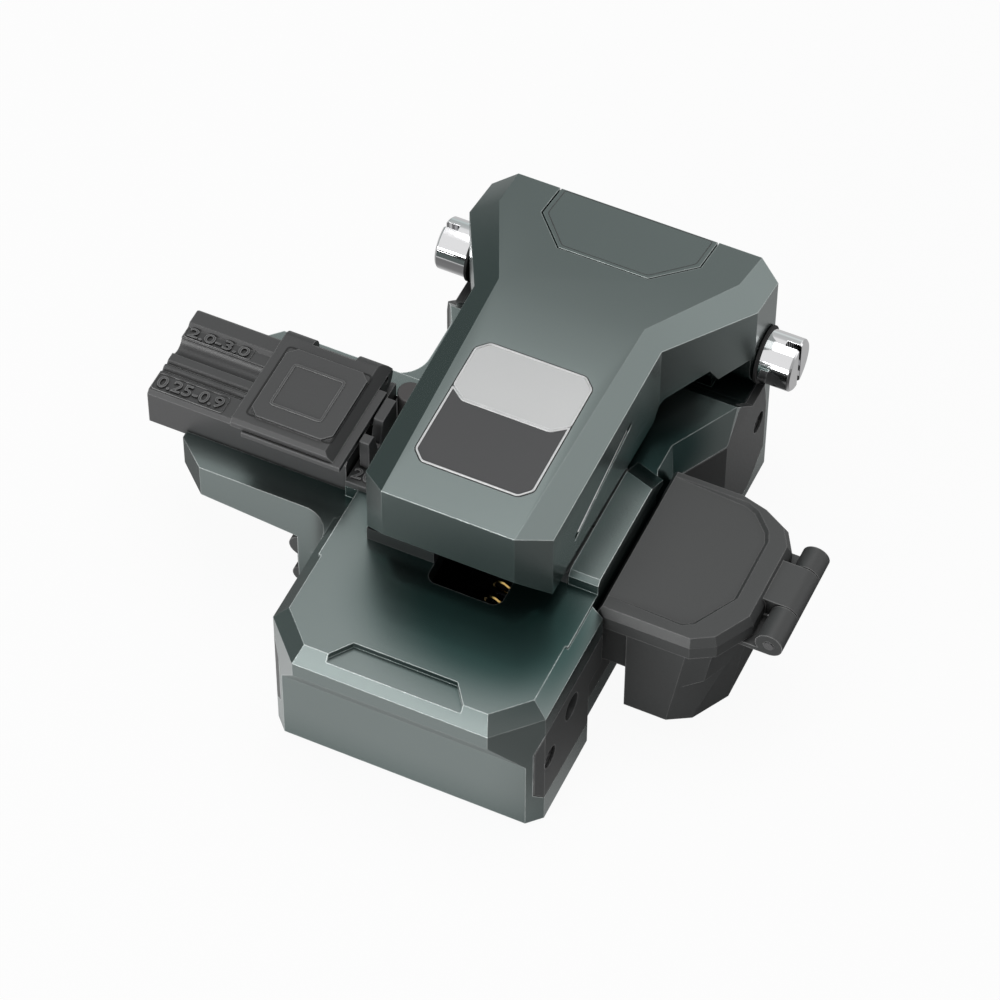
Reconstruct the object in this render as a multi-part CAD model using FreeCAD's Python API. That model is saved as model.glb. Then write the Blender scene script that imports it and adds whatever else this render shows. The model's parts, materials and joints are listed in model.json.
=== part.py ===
import FreeCAD, Part
import math
import os
from FreeCAD import Vector

# Fibre cleaver: a bench tool that scores and snaps a glass fibre square across.
# Millimetres. +X runs along the fibre, from its holder on the left to the scrap box on the right.
# +Y runs from the front lip to the hinge at the back, and +Z is up.
# While modelling, x = 0 is the middle plane of the casting, y = 0 its lower front panel and z = 0
# the bench. The finished set is then moved so that the origin is the middle of its own footprint.

# Base casting, seen from above
front_face_half = 16.0
front_half = 22.4
corner_depth = 6.6
front_overhang = 4.4
step_y = 18.0
slab_end_y = 22.8
waist_half = 20.6
waist_end_y = 53.3
flare_length = 9.3
rear_half = 25.6
rear_corner_behind_hinge = 0.7
rear_corner = 4.1
rear_behind_hinge = 5.7
left_waist_half = 22.0
left_waist_end_y = 63.0

# Base casting, heights and walls
foot_proud = 0.6
table_z = 28.3
bevel_width = 2.3
bevel_drop = 2.5
lip_height = 2.9
undercut_z = 15.0
flare_bevel_drop = 4.8
scoop_start_y = 46.5
scoop_length = 4.0
scoop_depth = 1.5
flare_bevel = 2.5
rear_bevel = 0.4
shoulder_drop = 5.9
shoulder_before_hinge = 12.3
shoulder_run = 6.0
wall = 4.0
top_wall = 3.0
finger_recess_depth = 1.0
finger_recess_half = 11.0
finger_recess_taper = 2.5
finger_recess_length = 3.4

# Slot in the table for the blade
slot_left = -4.0
slot_right = 8.2
slot_front_y = 16.4
slot_rear_y = 60.0
slot_corner = 1.6

# Wing on the left that carries the fibre holder
platform_z = 25.8
platform_left = 50.5
platform_front_y = 23.0
platform_rear_y = 50.8
platform_thick_left = 6.1
platform_thick_root = 8.1
platform_corner_x = 5.0
platform_corner_y = 4.3
cove_radius = 5.0
web_half = 29.0
web_rear_y = 45.0
web_bottom_z = 3.0
channel_depth = 1.0
fence_rise = 3.1
fence_thick = 4.4
fence_left = 46.9
fence_corner = 2.2
inner_block_rise = 3.6
inner_block_front_y = 27.6
scale_plate_thick = 1.2

# Ledge on the right, beside the lid
ledge_rise = 2.7
ledge_front_y = 24.8
ledge_rear_y = 45.5
ledge_width = 4.9
ledge_chamfer = 0.8
ledge_run = 4.3

# Lid
lid_front_y = 16.0
lid_front_half = 10.8
lid_corner_half = 15.3
lid_corner_depth = 4.0
lid_waist_half = 15.6
lid_waist_y = 58.5
lid_side_inset = 1.2
lid_shoulder_before_hinge = 3.8
lid_corner_behind_hinge = 4.5
lid_behind_hinge = 6.5
lid_rear_corner = 3.7
lid_crest_y = 60.0
lid_crest_half = 12.1
lid_inner_shoulder_before_hinge = 1.6
lid_inner_shoulder_half = 20.3
lid_front_z = 46.4
lid_crest_rise = 1.3
lid_rear_drop = 4.7
lid_corner_drop = 2.3
lid_lip_drop = 10.2
lid_bottom_rise = 2.9
lid_arch_y = 56.5
lid_arch_run = 2.9
lid_arch_rise = 2.8
lid_skirt_before_hinge = 11.9
lid_skirt_run = 1.6
lid_skirt_drop = 3.2
lid_wall = 2.0
lid_skin = 2.4

# Lines in the lid's faces: a groove in each side and the rear panel's seam
side_groove_front_y = 27.8
side_groove_rear_y = 47.9
side_groove_front_drop = 11.4
side_groove_rear_drop = 6.4
side_groove_width = 1.2
side_groove_depth = 0.6
rear_panel_half = 13.5
rear_panel_front_half = 7.6
rear_panel_before_hinge = 7.8
rear_panel_corner_before_hinge = 0.8
rear_panel_thick = 0.8
seam = 0.2

# Hinge
hinge_y = 79.3
hinge_z = 27.6
shaft_diameter = 4.0
hinge_boss_diameter = 9.2
hinge_block_diameter = 11.2
hinge_arm_width = 6.05
bush_diameter = 5.6
knob_diameter = 8.7
knob_length = 5.4
knob_slot_width = 1.0
knob_slot_depth = 2.4
knob_chamfer = 0.35
ring_diameter = 9.6
ring_thick = 0.5
running_gap = 0.03
side_gap = 0.15
clear = 0.3

# How far a cutting shape runs past the face that it cuts, and what counts as touching and as flat
over = 1.0
touching = 0.01
flat = 1e-6
full_turn = 360

# Label plates on the lid
label_front_y = 23.4
label_rear_y = 48.0
label_split_y = 38.4
label_split_dip = 1.9
label_split_half = 7.2
label_half = 9.7
label_corner = 1.8
label_depth = 0.5

# Blade and its carriage
blade_diameter = 17.0
blade_thick = 1.0
blade_edge = 0.9
blade_x = 2.0
blade_y = 46.0
fibre_y = 34.5
axle_diameter = 3.0
axle_head_diameter = 4.8
axle_head_thick = 1.2
hub_diameter = 9.0
hub_thick = 1.6
hub_chamfer = 0.4
nut_diameter = 5.0
nut_thick = 1.2
blade_holder_thick = 3.6
blade_holder_half = 6.5
blade_holder_tip_half = 3.4
blade_holder_over_axle = 4.6
carriage_left = -4.0
carriage_right = 8.4
carriage_front_y = 33.0
carriage_rear_y = 57.0
carriage_room_behind = 6.0
carriage_lift = 5.4
carriage_plate_thick = 3.0
carriage_travel = 20.5
rail_width = 5.0
rail_height = 3.2
rail_end_gap = 1.5
rail_play = 0.06
rail_screw_count = 3
runner_width = 11.0
runner_length = 18.0
runner_lift = 0.6
bumper_diameter = 4.4
spring_diameter = 4.8
spring_wire = 0.6
spring_coils = 9
spring_sides = 5
spring_steps = 12
spring_x = 5.6
spring_z = 21.6
spring_seat_thick = 2.0
spring_seat_rim = 0.4
screw_diameter = 2.0
screw_head_diameter = 3.8
screw_head_height = 1.2
screw_length = 5.0
screw_sides = 12
head_sink = 0.5
small_screw = 0.8

# Clamps inside the lid, and what they press on; shares are of the room over the lower clamps
lower_clamp_drop = 0.4
lower_front_y = 19.8
lower_rear_y = 47.0
lower_pad_half = 4.0
lower_pad_depth = 1.2
lower_pad_proud = 0.1
groove_width = 0.8
groove_depth = 0.4
clamp_width_left = 6.4
clamp_width_right = 3.6
clamp_length = 9.0
clamp_pad_share = 0.073
stem_length = 5.0
stem_inset = 0.8
anvil_width = 4.8
anvil_length = 6.0
anvil_tip_length = 3.2
anvil_set_back = 0.3
flange_share = 0.073
lift_share = 0.11
frame_thick_share = 0.147
frame_share = 0.58
frame_front_inset = 2.6
frame_rear_y = 54.0

# Fibre holder
holder_left = 57.1
holder_right = 23.1
holder_front_y = 28.7
holder_width = 17.6
holder_front_height = 7.1
holder_rear_step = 0.5
holder_rim_step = 0.6
holder_rim_width = 2.6
holder_edge = 0.6
holder_gap = 0.1
holder_travel = 9.0
cable_groove_y = 38.7
cable_groove_diameter = 3.2
cable_groove_depth = 1.0
fine_groove_width = 1.0
fine_groove_depth = 0.5
fine_groove_pitch = 1.5
stop_diameter = 2.4
stop_height = 1.4
stop_inset = 6.0
stop_share = 0.25
magnet_diameter = 4.0
magnet_height = 1.6
magnet_inset = 8.0
magnet_share = 0.25

# Clamp on the fibre holder
clamp_left = 41.0
clamp_right = 23.6
clamp_front_overhang = 3.2
clamp_thick = 1.5
clamp_end_chamfer = 1.6
clamp_bottom_rise = 3.5
clamp_pin_diameter = 1.2
clamp_barrel_radius = 2.2
clamp_ear_radius = 1.4
clamp_ear_left = 36.0
clamp_ear_right = 29.0
clamp_pad_rise = 0.5
clamp_pad_inset = 2.0
clamp_pad_corner = 1.4
under_plate_thick = 1.0
under_plate_left = 39.0
under_plate_right = 22.3
under_plate_overhang = 3.7
grip_inset = 1.6

# Fibre guide and post beside the lid
guide_thick = 1.7
guide_front_y = 31.1
guide_rear_y = 40.7
guide_height = 6.0
guide_notch = 1.6
guide_gap = 0.5
post_diameter = 4.0
post_x = -19.2

# Ribbed cover under the wing
rib_top_z = 13.4
rib_top_diameter = 4.4
rib_low_z = 6.4
rib_low_diameter = 3.6
rib_neck = 0.8

# Scrap collector on the right
collector_gap = 0.3
collector_length = 30.0
collector_right = 43.2
collector_top_z = 27.2
collector_seam_z = 23.2
collector_bottom_z = 4.7
collector_wall = 1.4
collector_draft = 2.7
collector_corner_x = 4.5
collector_corner_y = 8.2
collector_corner_soft = 2.4
collector_lid_reach = 0.8
collector_body_inset = 4.9
collector_hook_inset = 1.4
collector_hook_z = 12.3
collector_cut_x = 34.0
collector_cut_z = 13.4
collector_cut_end_z = 17.0
collector_bevel = 0.8
collector_bevel_drop = 1.5
tray_margin = 3.7
tray_front_margin = 2.5
tray_rear_margin = 1.7
tray_depth = 0.7
tray_slope = 0.6
collector_hinge_x = 46.4
collector_hinge_z = 24.4
collector_hinge_front_y = 29.6
collector_hinge_rear_y = 48.2
collector_tongue_front_y = 35.8
collector_tongue_rear_y = 43.8
knuckle_diameter = 4.4
hinge_pin_diameter = 1.6
hinge_pin_proud = 0.2
collector_screw_inset = 8.0

# Plates, covers and feet
plate_thick = 1.6
plate_step = 1.5
cover_thick = 1.3
cover_gap = 0.1
cover_low_z = 6.1
cover_wrap = 1.2
cover_top_drop = 4.2
cover_rear_drop = 3.7
vent_y = 11.7
vent_z = 17.3
vent_diameter = 4.6
vent_depth = 4.0
foot_diameter = 7.0
foot_inset = 6.0
foot_sides = 20

PARTS = {}


def block(x0, x1, y0, y1, z0, z1):
    """A box from its limits along X, Y and Z."""
    return Part.makeBox(x1 - x0, y1 - y0, z1 - z0, Vector(x0, y0, z0))


def rod(axis, centre, start, end, diameter):
    """A round bar along an axis; centre gives the two other coordinates in X, Y, Z order."""
    a, b = centre
    base = {"x": Vector(start, a, b), "y": Vector(a, start, b), "z": Vector(a, b, start)}[axis]
    direction = {"x": Vector(1, 0, 0), "y": Vector(0, 1, 0), "z": Vector(0, 0, 1)}[axis]
    return Part.makeCylinder(diameter / 2, end - start, base, direction)


def polygon(points):
    """A closed wire through 3-D points."""
    return Part.makePolygon([Vector(*p) for p in points] + [Vector(*points[0])])


def from_above(points, z0, z1):
    """A prism whose outline is given from above, as x, y pairs."""
    face = Part.Face(polygon([(x, y, z0) for x, y in points]))
    return face.extrude(Vector(0, 0, z1 - z0))


def from_side(points, x0, x1):
    """A prism whose outline is given from the side, as y, z pairs."""
    face = Part.Face(polygon([(x0, y, z) for y, z in points]))
    return face.extrude(Vector(x1 - x0, 0, 0))


def from_front(points, y0, y1):
    """A prism whose outline is given from the front, as x, z pairs."""
    face = Part.Face(polygon([(x, y0, z) for x, z in points]))
    return face.extrude(Vector(0, y1 - y0, 0))


def bar(axis, centre, start, end, diameter, sides=screw_sides):
    """A many-sided bar along an axis, for small fasteners and their holes."""
    ring = []
    for i in range(sides):
        turn = 2 * math.pi * (i + 0.5) / sides
        ring.append((centre[0] + diameter / 2 * math.cos(turn), centre[1] + diameter / 2 * math.sin(turn)))
    prism = {"x": from_side, "y": from_front, "z": from_above}[axis]
    return prism(ring, start, end)


def both_sides(right):
    """A closed outline from its right half, front to back."""
    return right + [(-x, y) for x, y in reversed(right)]


def join(*shapes):
    """Fused shapes with the seams between them removed."""
    whole = shapes[0].fuse(list(shapes[1:]))
    return whole.removeSplitter()


def mirrored(shape):
    """The same shape on the other side of the middle plane."""
    return shape.mirror(Vector(0, 0, 0), Vector(1, 0, 0))


def inset(points, distances):
    """An outline moved inwards, by one distance or by one for each edge, its points anticlockwise."""
    result = []
    count = len(points)
    if not isinstance(distances, list):
        distances = [distances] * count
    for i in range(count):
        before, here, after = points[i - 1], points[i], points[(i + 1) % count]
        lines = []
        for start, end, distance in ((before, here, distances[i - 1]), (here, after, distances[i])):
            dx, dy = end[0] - start[0], end[1] - start[1]
            length = math.hypot(dx, dy)
            normal = (-dy / length, dx / length)
            lines.append((normal, normal[0] * here[0] + normal[1] * here[1] + distance))
        (n1, c1), (n2, c2) = lines
        cross = n1[0] * n2[1] - n1[1] * n2[0]
        result.append(((c1 * n2[1] - c2 * n1[1]) / cross, (n1[0] * c2 - n2[0] * c1) / cross))
    return result


def softened(points, reach, which):
    """An outline with some of its corners cut, each by the same reach along both of its edges."""
    result = []
    count = len(points)
    for i in range(count):
        here = points[i]
        if i not in which:
            result.append(here)
            continue
        for other in (points[i - 1], points[(i + 1) % count]):
            share = reach / math.hypot(other[0] - here[0], other[1] - here[1])
            result.append((here[0] + share * (other[0] - here[0]), here[1] + share * (other[1] - here[1])))
    return result


def solid_of(faces):
    """A solid from its flat faces, each a list of points."""
    shell = Part.makeShell([Part.Face(polygon(points)) for points in faces])
    solid = Part.makeSolid(shell)
    if solid.Volume < 0:
        solid.reverse()
    return solid


def bridge(first, last):
    """A solid between two flat 3-D outlines of equally many points; a bent side is two triangles."""
    faces = [first, last]
    count = len(first)
    for i in range(count):
        a, b = first[i], first[(i + 1) % count]
        d, c = last[i], last[(i + 1) % count]
        normal = (Vector(*b) - Vector(*a)).cross(Vector(*d) - Vector(*a))
        if abs(normal.dot(Vector(*c) - Vector(*a))) < flat:
            faces.append([a, b, c, d])
        else:
            faces += [[a, b, c], [a, c, d]]
    return solid_of(faces)


def tapered(bottom, top, z0, z1):
    """A solid between two level outlines with equally many points."""
    return bridge([(x, y, z0) for x, y in bottom], [(x, y, z1) for x, y in top])


def rounded_slot(x0, x1, y0, y1, z0, z1, radius):
    """A pocket with round corners, seen from above."""
    body = block(x0, x1, y0, y1, z0, z1)
    corners = [e for e in body.Edges if abs(e.Vertexes[0].Z - e.Vertexes[1].Z) > (z1 - z0) / 2]
    return body.makeFillet(radius, corners)


def cut_corners(x0, x1, y0, y1, corner):
    """An outline of a rectangle with its corners cut."""
    return [(x0 + corner, y0), (x1 - corner, y0), (x1, y0 + corner), (x1, y1 - corner),
            (x1 - corner, y1), (x0 + corner, y1), (x0, y1 - corner), (x0, y0 + corner)]


def cove(corner_x, corner_y, away_x, away_y, z0, z1):
    """The rounded filling of an inside corner, seen from above; away gives the sign of its two sides."""
    x = corner_x + away_x * cove_radius
    y = corner_y + away_y * cove_radius
    filling = block(min(x, corner_x), max(x, corner_x), min(y, corner_y), max(y, corner_y), z0, z1)
    return filling.cut(rod("z", (x, y), z0 - over, z1 + over, 2 * cove_radius))


def plane_height(a, b, c, x, y):
    """Height of the plane through three points at a place x, y."""
    u = Vector(*b) - Vector(*a)
    v = Vector(*c) - Vector(*a)
    n = u.cross(v)
    return a[2] - (n.x * (x - a[0]) + n.y * (y - a[1])) / n.z


def screw(axis, centre, head_at, sign):
    """A flat-head screw: head_at is the head's outer face, sign the way the shank runs."""
    under_head = head_at + sign * screw_head_height
    tip = head_at + sign * screw_length
    spans = [(head_at, under_head, screw_head_diameter), (under_head, tip, screw_diameter)]
    return join(*[bar(axis, centre, min(a, b), max(a, b), d) for a, b, d in spans])


def screw_room(axis, centre, head_at, sign):
    """The hole that a flat-head screw sits in, open above its head."""
    under_head = head_at + sign * (screw_head_height + running_gap)
    tip = head_at + sign * (screw_length + clear)
    spans = [(head_at - sign * over, under_head, screw_head_diameter), (under_head, tip, screw_diameter)]
    return join(*[bar(axis, centre, min(a, b), max(a, b), d + 2 * running_gap) for a, b, d in spans])


def keep(name, shape, *room):
    """Store a part, after cutting the room that its neighbours need."""
    for tool in room:
        shape = shape.cut(tool)
    PARTS[name] = shape


# Places that go with the hinge
rear_corner_y = hinge_y + rear_corner_behind_hinge
rear_y = hinge_y + rear_behind_hinge
shoulder_start_y = hinge_y - shoulder_before_hinge
lid_shoulder_y = hinge_y - lid_shoulder_before_hinge
lid_inner_shoulder_y = hinge_y - lid_inner_shoulder_before_hinge
lid_rear_corner_y = hinge_y + lid_corner_behind_hinge
lid_rear_y = hinge_y + lid_behind_hinge
lid_skirt_y = hinge_y - lid_skirt_before_hinge
rear_panel_front_y = hinge_y - rear_panel_before_hinge
rear_panel_corner_y = hinge_y - rear_panel_corner_before_hinge

# Base casting
bevel_z = table_z - bevel_drop
lip_z = bevel_z - lip_height
front_y = -front_overhang
side_start_y = front_y + corner_depth
flare_end_y = waist_end_y + flare_length
rear_face_half = rear_half - rear_corner
left_flare_end_y = left_waist_end_y + flare_length * (rear_half - left_waist_half) / (rear_half - waist_half)
front_right = [(front_face_half, front_y), (front_half, side_start_y)]
rear_right = [(rear_half, flare_end_y), (rear_half, rear_corner_y), (rear_face_half, rear_y)]
rear_left = [(-rear_face_half, rear_y), (-rear_half, rear_corner_y), (-rear_half, left_flare_end_y)]
right_waist = [(front_half, step_y), (waist_half, step_y), (waist_half, waist_end_y)]
right_side = front_right + right_waist + rear_right
left_waist = [(-left_waist_half, left_waist_end_y), (-left_waist_half, web_rear_y),
              (-waist_half, web_rear_y)]
left_side = rear_left + left_waist + [(-waist_half, step_y), (-front_half, step_y),
                                      (-front_half, side_start_y), (-front_face_half, front_y)]
foot_outline = right_side + left_side
slab_outline = both_sides(front_right + [(front_half, slab_end_y)])
flare_z = table_z - flare_bevel_drop
shoulder_z = table_z - shoulder_drop
shoulder_flat_y = shoulder_start_y + shoulder_run
cavity_half = waist_half - wall
cavity_front_y = wall
cavity_rear_y = carriage_rear_y + carriage_room_behind
plate_z = foot_proud + plate_thick
cavity_top_z = table_z - top_wall
arm_inner_x = rear_half - lid_side_inset - hinge_arm_width
hinge_block_half = arm_inner_x - side_gap
lid_bottom_z = table_z + lid_bottom_rise
ledge_z = table_z + ledge_rise
ledge_inner = waist_half - ledge_width


def base_outer():
    """The casting before its pockets: front slab, waist and flared rear with their bevels."""
    lower = from_above(foot_outline, foot_proud, flare_z)
    slab = from_above(slab_outline, undercut_z, bevel_z)
    slab_top = [(x, slab_end_y if y > step_y else y) for x, y in inset(slab_outline, bevel_width)]
    crown = tapered(slab_outline, slab_top, bevel_z, table_z)
    neck = block(-waist_half, waist_half, step_y - wall, scoop_start_y, flare_z, table_z)
    scoop_end_y = scoop_start_y + scoop_length
    left = left_waist_half
    scoop = bridge(
        [(waist_half, scoop_start_y, flare_z), (waist_half, scoop_start_y, table_z),
         (-left, scoop_start_y, table_z), (-left, scoop_start_y, flare_z)],
        [(waist_half, scoop_end_y, flare_z), (waist_half - scoop_depth, scoop_end_y, table_z),
         (-left, scoop_end_y, table_z), (-left, scoop_end_y, flare_z)])
    rear = [(waist_half, scoop_end_y), (waist_half, waist_end_y)] + rear_right + rear_left + [
        (-left, left_waist_end_y), (-left, scoop_end_y)]
    bevels = [scoop_depth, flare_bevel] + [rear_bevel] * len(rear_right + rear_left) + [0, 0]
    rear_top = inset(rear, bevels)
    hind = tapered(rear, rear_top, flare_z, table_z)
    body = join(lower, slab, crown, neck, scoop, hind)
    undercut = [(front_y - over, lip_z), (front_y, lip_z), (0, undercut_z), (0, 0), (front_y - over, 0)]
    body = body.cut(from_side(undercut, -front_half, front_half))
    above_shoulder = [(shoulder_start_y, table_z), (shoulder_flat_y, shoulder_z),
                      (rear_y + over, shoulder_z), (rear_y + over, table_z + over),
                      (shoulder_start_y, table_z + over)]
    return body.cut(from_side(above_shoulder, -rear_half - over, rear_half + over))


def hinge_block():
    """The barrel between the lid's arms, on its pillar."""
    radius = hinge_block_diameter / 2
    pillar = block(-hinge_block_half, hinge_block_half, hinge_y - radius, hinge_y + radius,
                   shoulder_z - over, hinge_z)
    barrel = rod("x", (hinge_y, hinge_z), -hinge_block_half, hinge_block_half, hinge_block_diameter)
    return join(pillar, barrel)


def ledge():
    """The raised rest beside the lid's right side, chamfered in front and sloping down behind."""
    section = [(ledge_front_y, table_z - over), (ledge_front_y, ledge_z - ledge_chamfer),
               (ledge_front_y + ledge_chamfer, ledge_z), (ledge_rear_y, ledge_z),
               (ledge_rear_y + ledge_run, table_z), (ledge_rear_y + ledge_run, table_z - over)]
    inner_shift = ledge_chamfer
    inner = [(ledge_inner, y + (inner_shift if y >= ledge_rear_y else 0), z) for y, z in section]
    outer = [(waist_half, y - (inner_shift if y >= ledge_rear_y else 0), z) for y, z in section]
    return bridge(inner, outer)


# Fibre holder's seat in the wing
channel_z = platform_z - channel_depth
holder_z = channel_z + holder_gap / 2
holder_rear_y = holder_front_y + holder_width
channel_front_y = holder_front_y - holder_gap
channel_rear_y = platform_rear_y - fence_thick
channel_right = -holder_right + clear
fence_z = platform_z + fence_rise
inner_block_z = platform_z + inner_block_rise
lid_side_x = lid_waist_half + clear


def wing():
    """The platform for the fibre holder: sloping underside, rounded roots, fence and inner block."""
    under_left_z = platform_z - platform_thick_left
    under_root_z = platform_z - platform_thick_root
    root = waist_half - over
    section = [(-platform_left, platform_z), (-platform_left, under_left_z), (-web_half, under_root_z),
               (-root, under_root_z), (-root, platform_z)]
    plate = from_front(section, platform_front_y, platform_rear_y)
    corner = [(-platform_left - over, platform_front_y - over),
              (-platform_left + platform_corner_x, platform_front_y - over),
              (-platform_left + platform_corner_x, platform_front_y),
              (-platform_left, platform_front_y + platform_corner_y),
              (-platform_left - over, platform_front_y + platform_corner_y)]
    plate = plate.cut(from_above(corner, 0, table_z))
    web = block(-web_half, -root, platform_front_y, web_rear_y, web_bottom_z, under_root_z + over)
    front_root = cove(-front_half, platform_front_y, -1, -1, undercut_z, platform_z)
    rear_root = cove(-left_waist_half, platform_rear_y, -1, 1, under_root_z, platform_z)
    fence = [(-fence_left, channel_rear_y), (-lid_side_x, channel_rear_y), (-lid_side_x, platform_rear_y),
             (-fence_left + fence_corner, platform_rear_y), (-fence_left, platform_rear_y - fence_corner)]
    fence = from_above(fence, platform_z - over, fence_z)
    fence_root = cove(-left_waist_half, platform_rear_y, -1, 1, platform_z - over, min(fence_z, table_z))
    inner = block(channel_right, -lid_side_x, inner_block_front_y, channel_rear_y + over,
                  platform_z - over, inner_block_z - scale_plate_thick)
    whole = join(plate, web, front_root, rear_root, fence, fence_root, inner)
    channel = block(-platform_left - over, channel_right, channel_front_y, channel_rear_y,
                    channel_z, platform_z + over)
    return whole.cut(channel)


def base_body():
    """The whole casting with its blade slot, cavity, finger recess and bores."""
    body = join(base_outer(), hinge_block(), ledge(), wing())
    lid_room = block(-lid_side_x, lid_waist_half, lid_front_y, lid_arch_y, table_z, table_z + lid_arch_y)
    body = body.cut(lid_room)
    cavity = block(-cavity_half, cavity_half, cavity_front_y, cavity_rear_y, plate_z, cavity_top_z)
    plate_room = block(-cavity_half - plate_step, cavity_half + plate_step, cavity_front_y - plate_step,
                       cavity_rear_y + plate_step, foot_proud - over, plate_z)
    slot = rounded_slot(slot_left, slot_right, slot_front_y, slot_rear_y, cavity_top_z - over,
                        table_z + over, slot_corner)
    edge_y = front_y + bevel_width
    inner_y = edge_y + finger_recess_length
    inner_half = finger_recess_half - finger_recess_taper
    recess = [(-finger_recess_half, front_y - over), (finger_recess_half, front_y - over),
              (finger_recess_half, edge_y), (inner_half, inner_y),
              (-inner_half, inner_y), (-finger_recess_half, edge_y)]
    recess = from_above(recess, table_z - finger_recess_depth, table_z + over)
    bore = rod("x", (hinge_y, hinge_z), -rear_half, rear_half, shaft_diameter + 2 * running_gap)
    return body.cut([cavity, plate_room, slot, recess, bore])


# Side covers: thin mouldings let into each side of the casting
def cover_band(shell, outline, gap):
    """A strip that follows the right side of a shell, cover_thick deep, with a gap all round."""
    inner = from_above(inset(outline, cover_thick + gap), 0, table_z)
    start_y = side_start_y - cover_wrap - gap
    low_z = cover_low_z - gap
    rear_low_z = low_z - cover_rear_drop
    top_z = bevel_z - cover_top_drop + gap
    end_y = rear_corner_y - cover_wrap + gap
    hump_y = (flare_end_y + shoulder_flat_y) / 2
    profile = [(start_y, low_z + cover_wrap), (start_y + cover_wrap, low_z),
               (shoulder_flat_y, rear_low_z), (end_y, low_z), (end_y, shoulder_z - shoulder_run + gap),
               (end_y - cover_wrap, shoulder_z + gap), (shoulder_flat_y, shoulder_z + cover_wrap + gap),
               (hump_y, table_z - cover_wrap + gap), (flare_end_y, flare_z + gap),
               (waist_end_y, flare_z + gap), (step_y, top_z), (side_start_y, top_z), (start_y, top_z - wall)]
    return shell.cut(inner).common(from_side(profile, 0, rear_half + over))


cover_screw_places = [(side_start_y + screw_head_diameter / 2, undercut_z - over),
                      (rear_corner_y - wall, undercut_z)]
outer_shell = base_outer()
wing_end_y = platform_rear_y + cove_radius
flipped_outline = [(-x, y) for x, y in reversed(foot_outline)]
right_cover = cover_band(outer_shell, foot_outline, 0)
left_cover = mirrored(cover_band(mirrored(outer_shell), flipped_outline, 0))
left_cover = left_cover.cut(block(-rear_half, 0, step_y, wing_end_y, 0, table_z))
left_room = mirrored(cover_band(mirrored(outer_shell), flipped_outline, cover_gap))
left_room = left_room.cut(block(-rear_half, 0, step_y + cover_gap, wing_end_y - cover_gap, 0, table_z))
cover_rooms = [cover_band(outer_shell, foot_outline, cover_gap), left_room]
cover_screws = []
cover_screw_rooms = []
for screw_y, screw_z in cover_screw_places:
    reach = (front_half if screw_y < step_y else rear_half) - head_sink
    for sign in (1, -1):
        cover_screws.append(screw("x", (screw_y, screw_z), sign * reach, -sign))
        cover_screw_rooms.append(screw_room("x", (screw_y, screw_z), sign * reach, -sign))
vent = bar("x", (vent_y, vent_z), front_half - cover_thick - vent_depth, front_half + over, vent_diameter,
           foot_sides)

# Underside: bottom plate, its screws and the feet glued to it
plate_half = cavity_half + plate_step - cover_gap
plate_front_y = cavity_front_y - plate_step + cover_gap
plate_rear_y = cavity_rear_y + plate_step - cover_gap
bottom_plate = block(-plate_half, plate_half, plate_front_y, plate_rear_y, foot_proud, plate_z)
feet = []
under_screws = []
under_rooms = []
head_z = foot_proud + cover_gap
for x in (-plate_half, plate_half):
    towards_middle = -1 if x > 0 else 1
    for y, away in ((plate_front_y, 1), (plate_rear_y, -1)):
        feet.append(bar("z", (x + towards_middle * foot_inset, y + away * foot_inset), 0, foot_proud,
                        foot_diameter, foot_sides))
        place = (x + towards_middle * screw_head_diameter, y + away * 2 * foot_diameter)
        under_screws.append(bar("z", place, head_z, head_z + screw_head_height, screw_head_diameter))
        under_rooms.append(bar("z", place, foot_proud - over, head_z + screw_head_height,
                               screw_head_diameter))

# Linear rail, runner and carriage
rail_z = plate_z + rail_height
rail_front_y = cavity_front_y + rail_end_gap
rail_rear_y = cavity_rear_y - rail_end_gap
rail_half = rail_width / 2
guide_rail = block(blade_x - rail_half, blade_x + rail_half, rail_front_y, rail_rear_y, plate_z, rail_z)
rail_screws = []
rail_rooms = []
rail_head_z = rail_z - screw_head_height
rail_screw_diameter = screw_diameter * small_screw
rail_head_diameter = screw_head_diameter * small_screw
for i in range(rail_screw_count):
    place = (blade_x, rail_front_y + (rail_rear_y - rail_front_y) * (i + 0.5) / rail_screw_count)
    rail_screws.append(join(bar("z", place, rail_head_z, rail_z - cover_gap, rail_head_diameter),
                            bar("z", place, plate_z, rail_head_z, rail_screw_diameter)))
    rail_rooms.append(bar("z", place, rail_head_z, rail_z + over, rail_head_diameter))
    rail_rooms.append(bar("z", place, plate_z - over, rail_head_z, rail_screw_diameter))
carriage_plate_z = plate_z + carriage_lift
runner_bottom_z = plate_z + runner_lift
runner_front_y = blade_y - runner_length / 2
runner_rear_y = blade_y + runner_length / 2
runner = block(blade_x - runner_width / 2, blade_x + runner_width / 2, runner_front_y, runner_rear_y,
               runner_bottom_z, carriage_plate_z)
runner = runner.cut(block(blade_x - rail_half - rail_play, blade_x + rail_half + rail_play,
                          runner_front_y - over, runner_rear_y + over, runner_bottom_z - over,
                          rail_z + rail_play))
carriage_top_z = carriage_plate_z + carriage_plate_thick
fibre_z = lid_bottom_z
blade_z = fibre_z - blade_diameter / 2
upright_right = blade_x - blade_thick / 2 - hub_chamfer
upright_left = upright_right - blade_holder_thick
spring_radius = spring_diameter / 2
carriage = join(block(carriage_left, carriage_right, carriage_front_y, carriage_rear_y,
                      carriage_plate_z, carriage_top_z),
                block(spring_x - spring_radius - spring_seat_rim, carriage_right, carriage_front_y,
                      carriage_front_y + spring_seat_thick, carriage_plate_z,
                      spring_z + spring_radius + spring_seat_rim))
upright_top_z = blade_z + blade_holder_over_axle
upright = [(blade_y - blade_holder_half, carriage_top_z), (blade_y + blade_holder_half, carriage_top_z),
           (blade_y + blade_holder_half, blade_z), (blade_y + blade_holder_tip_half, upright_top_z),
           (blade_y - blade_holder_tip_half, upright_top_z), (blade_y - blade_holder_half, blade_z)]
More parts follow.
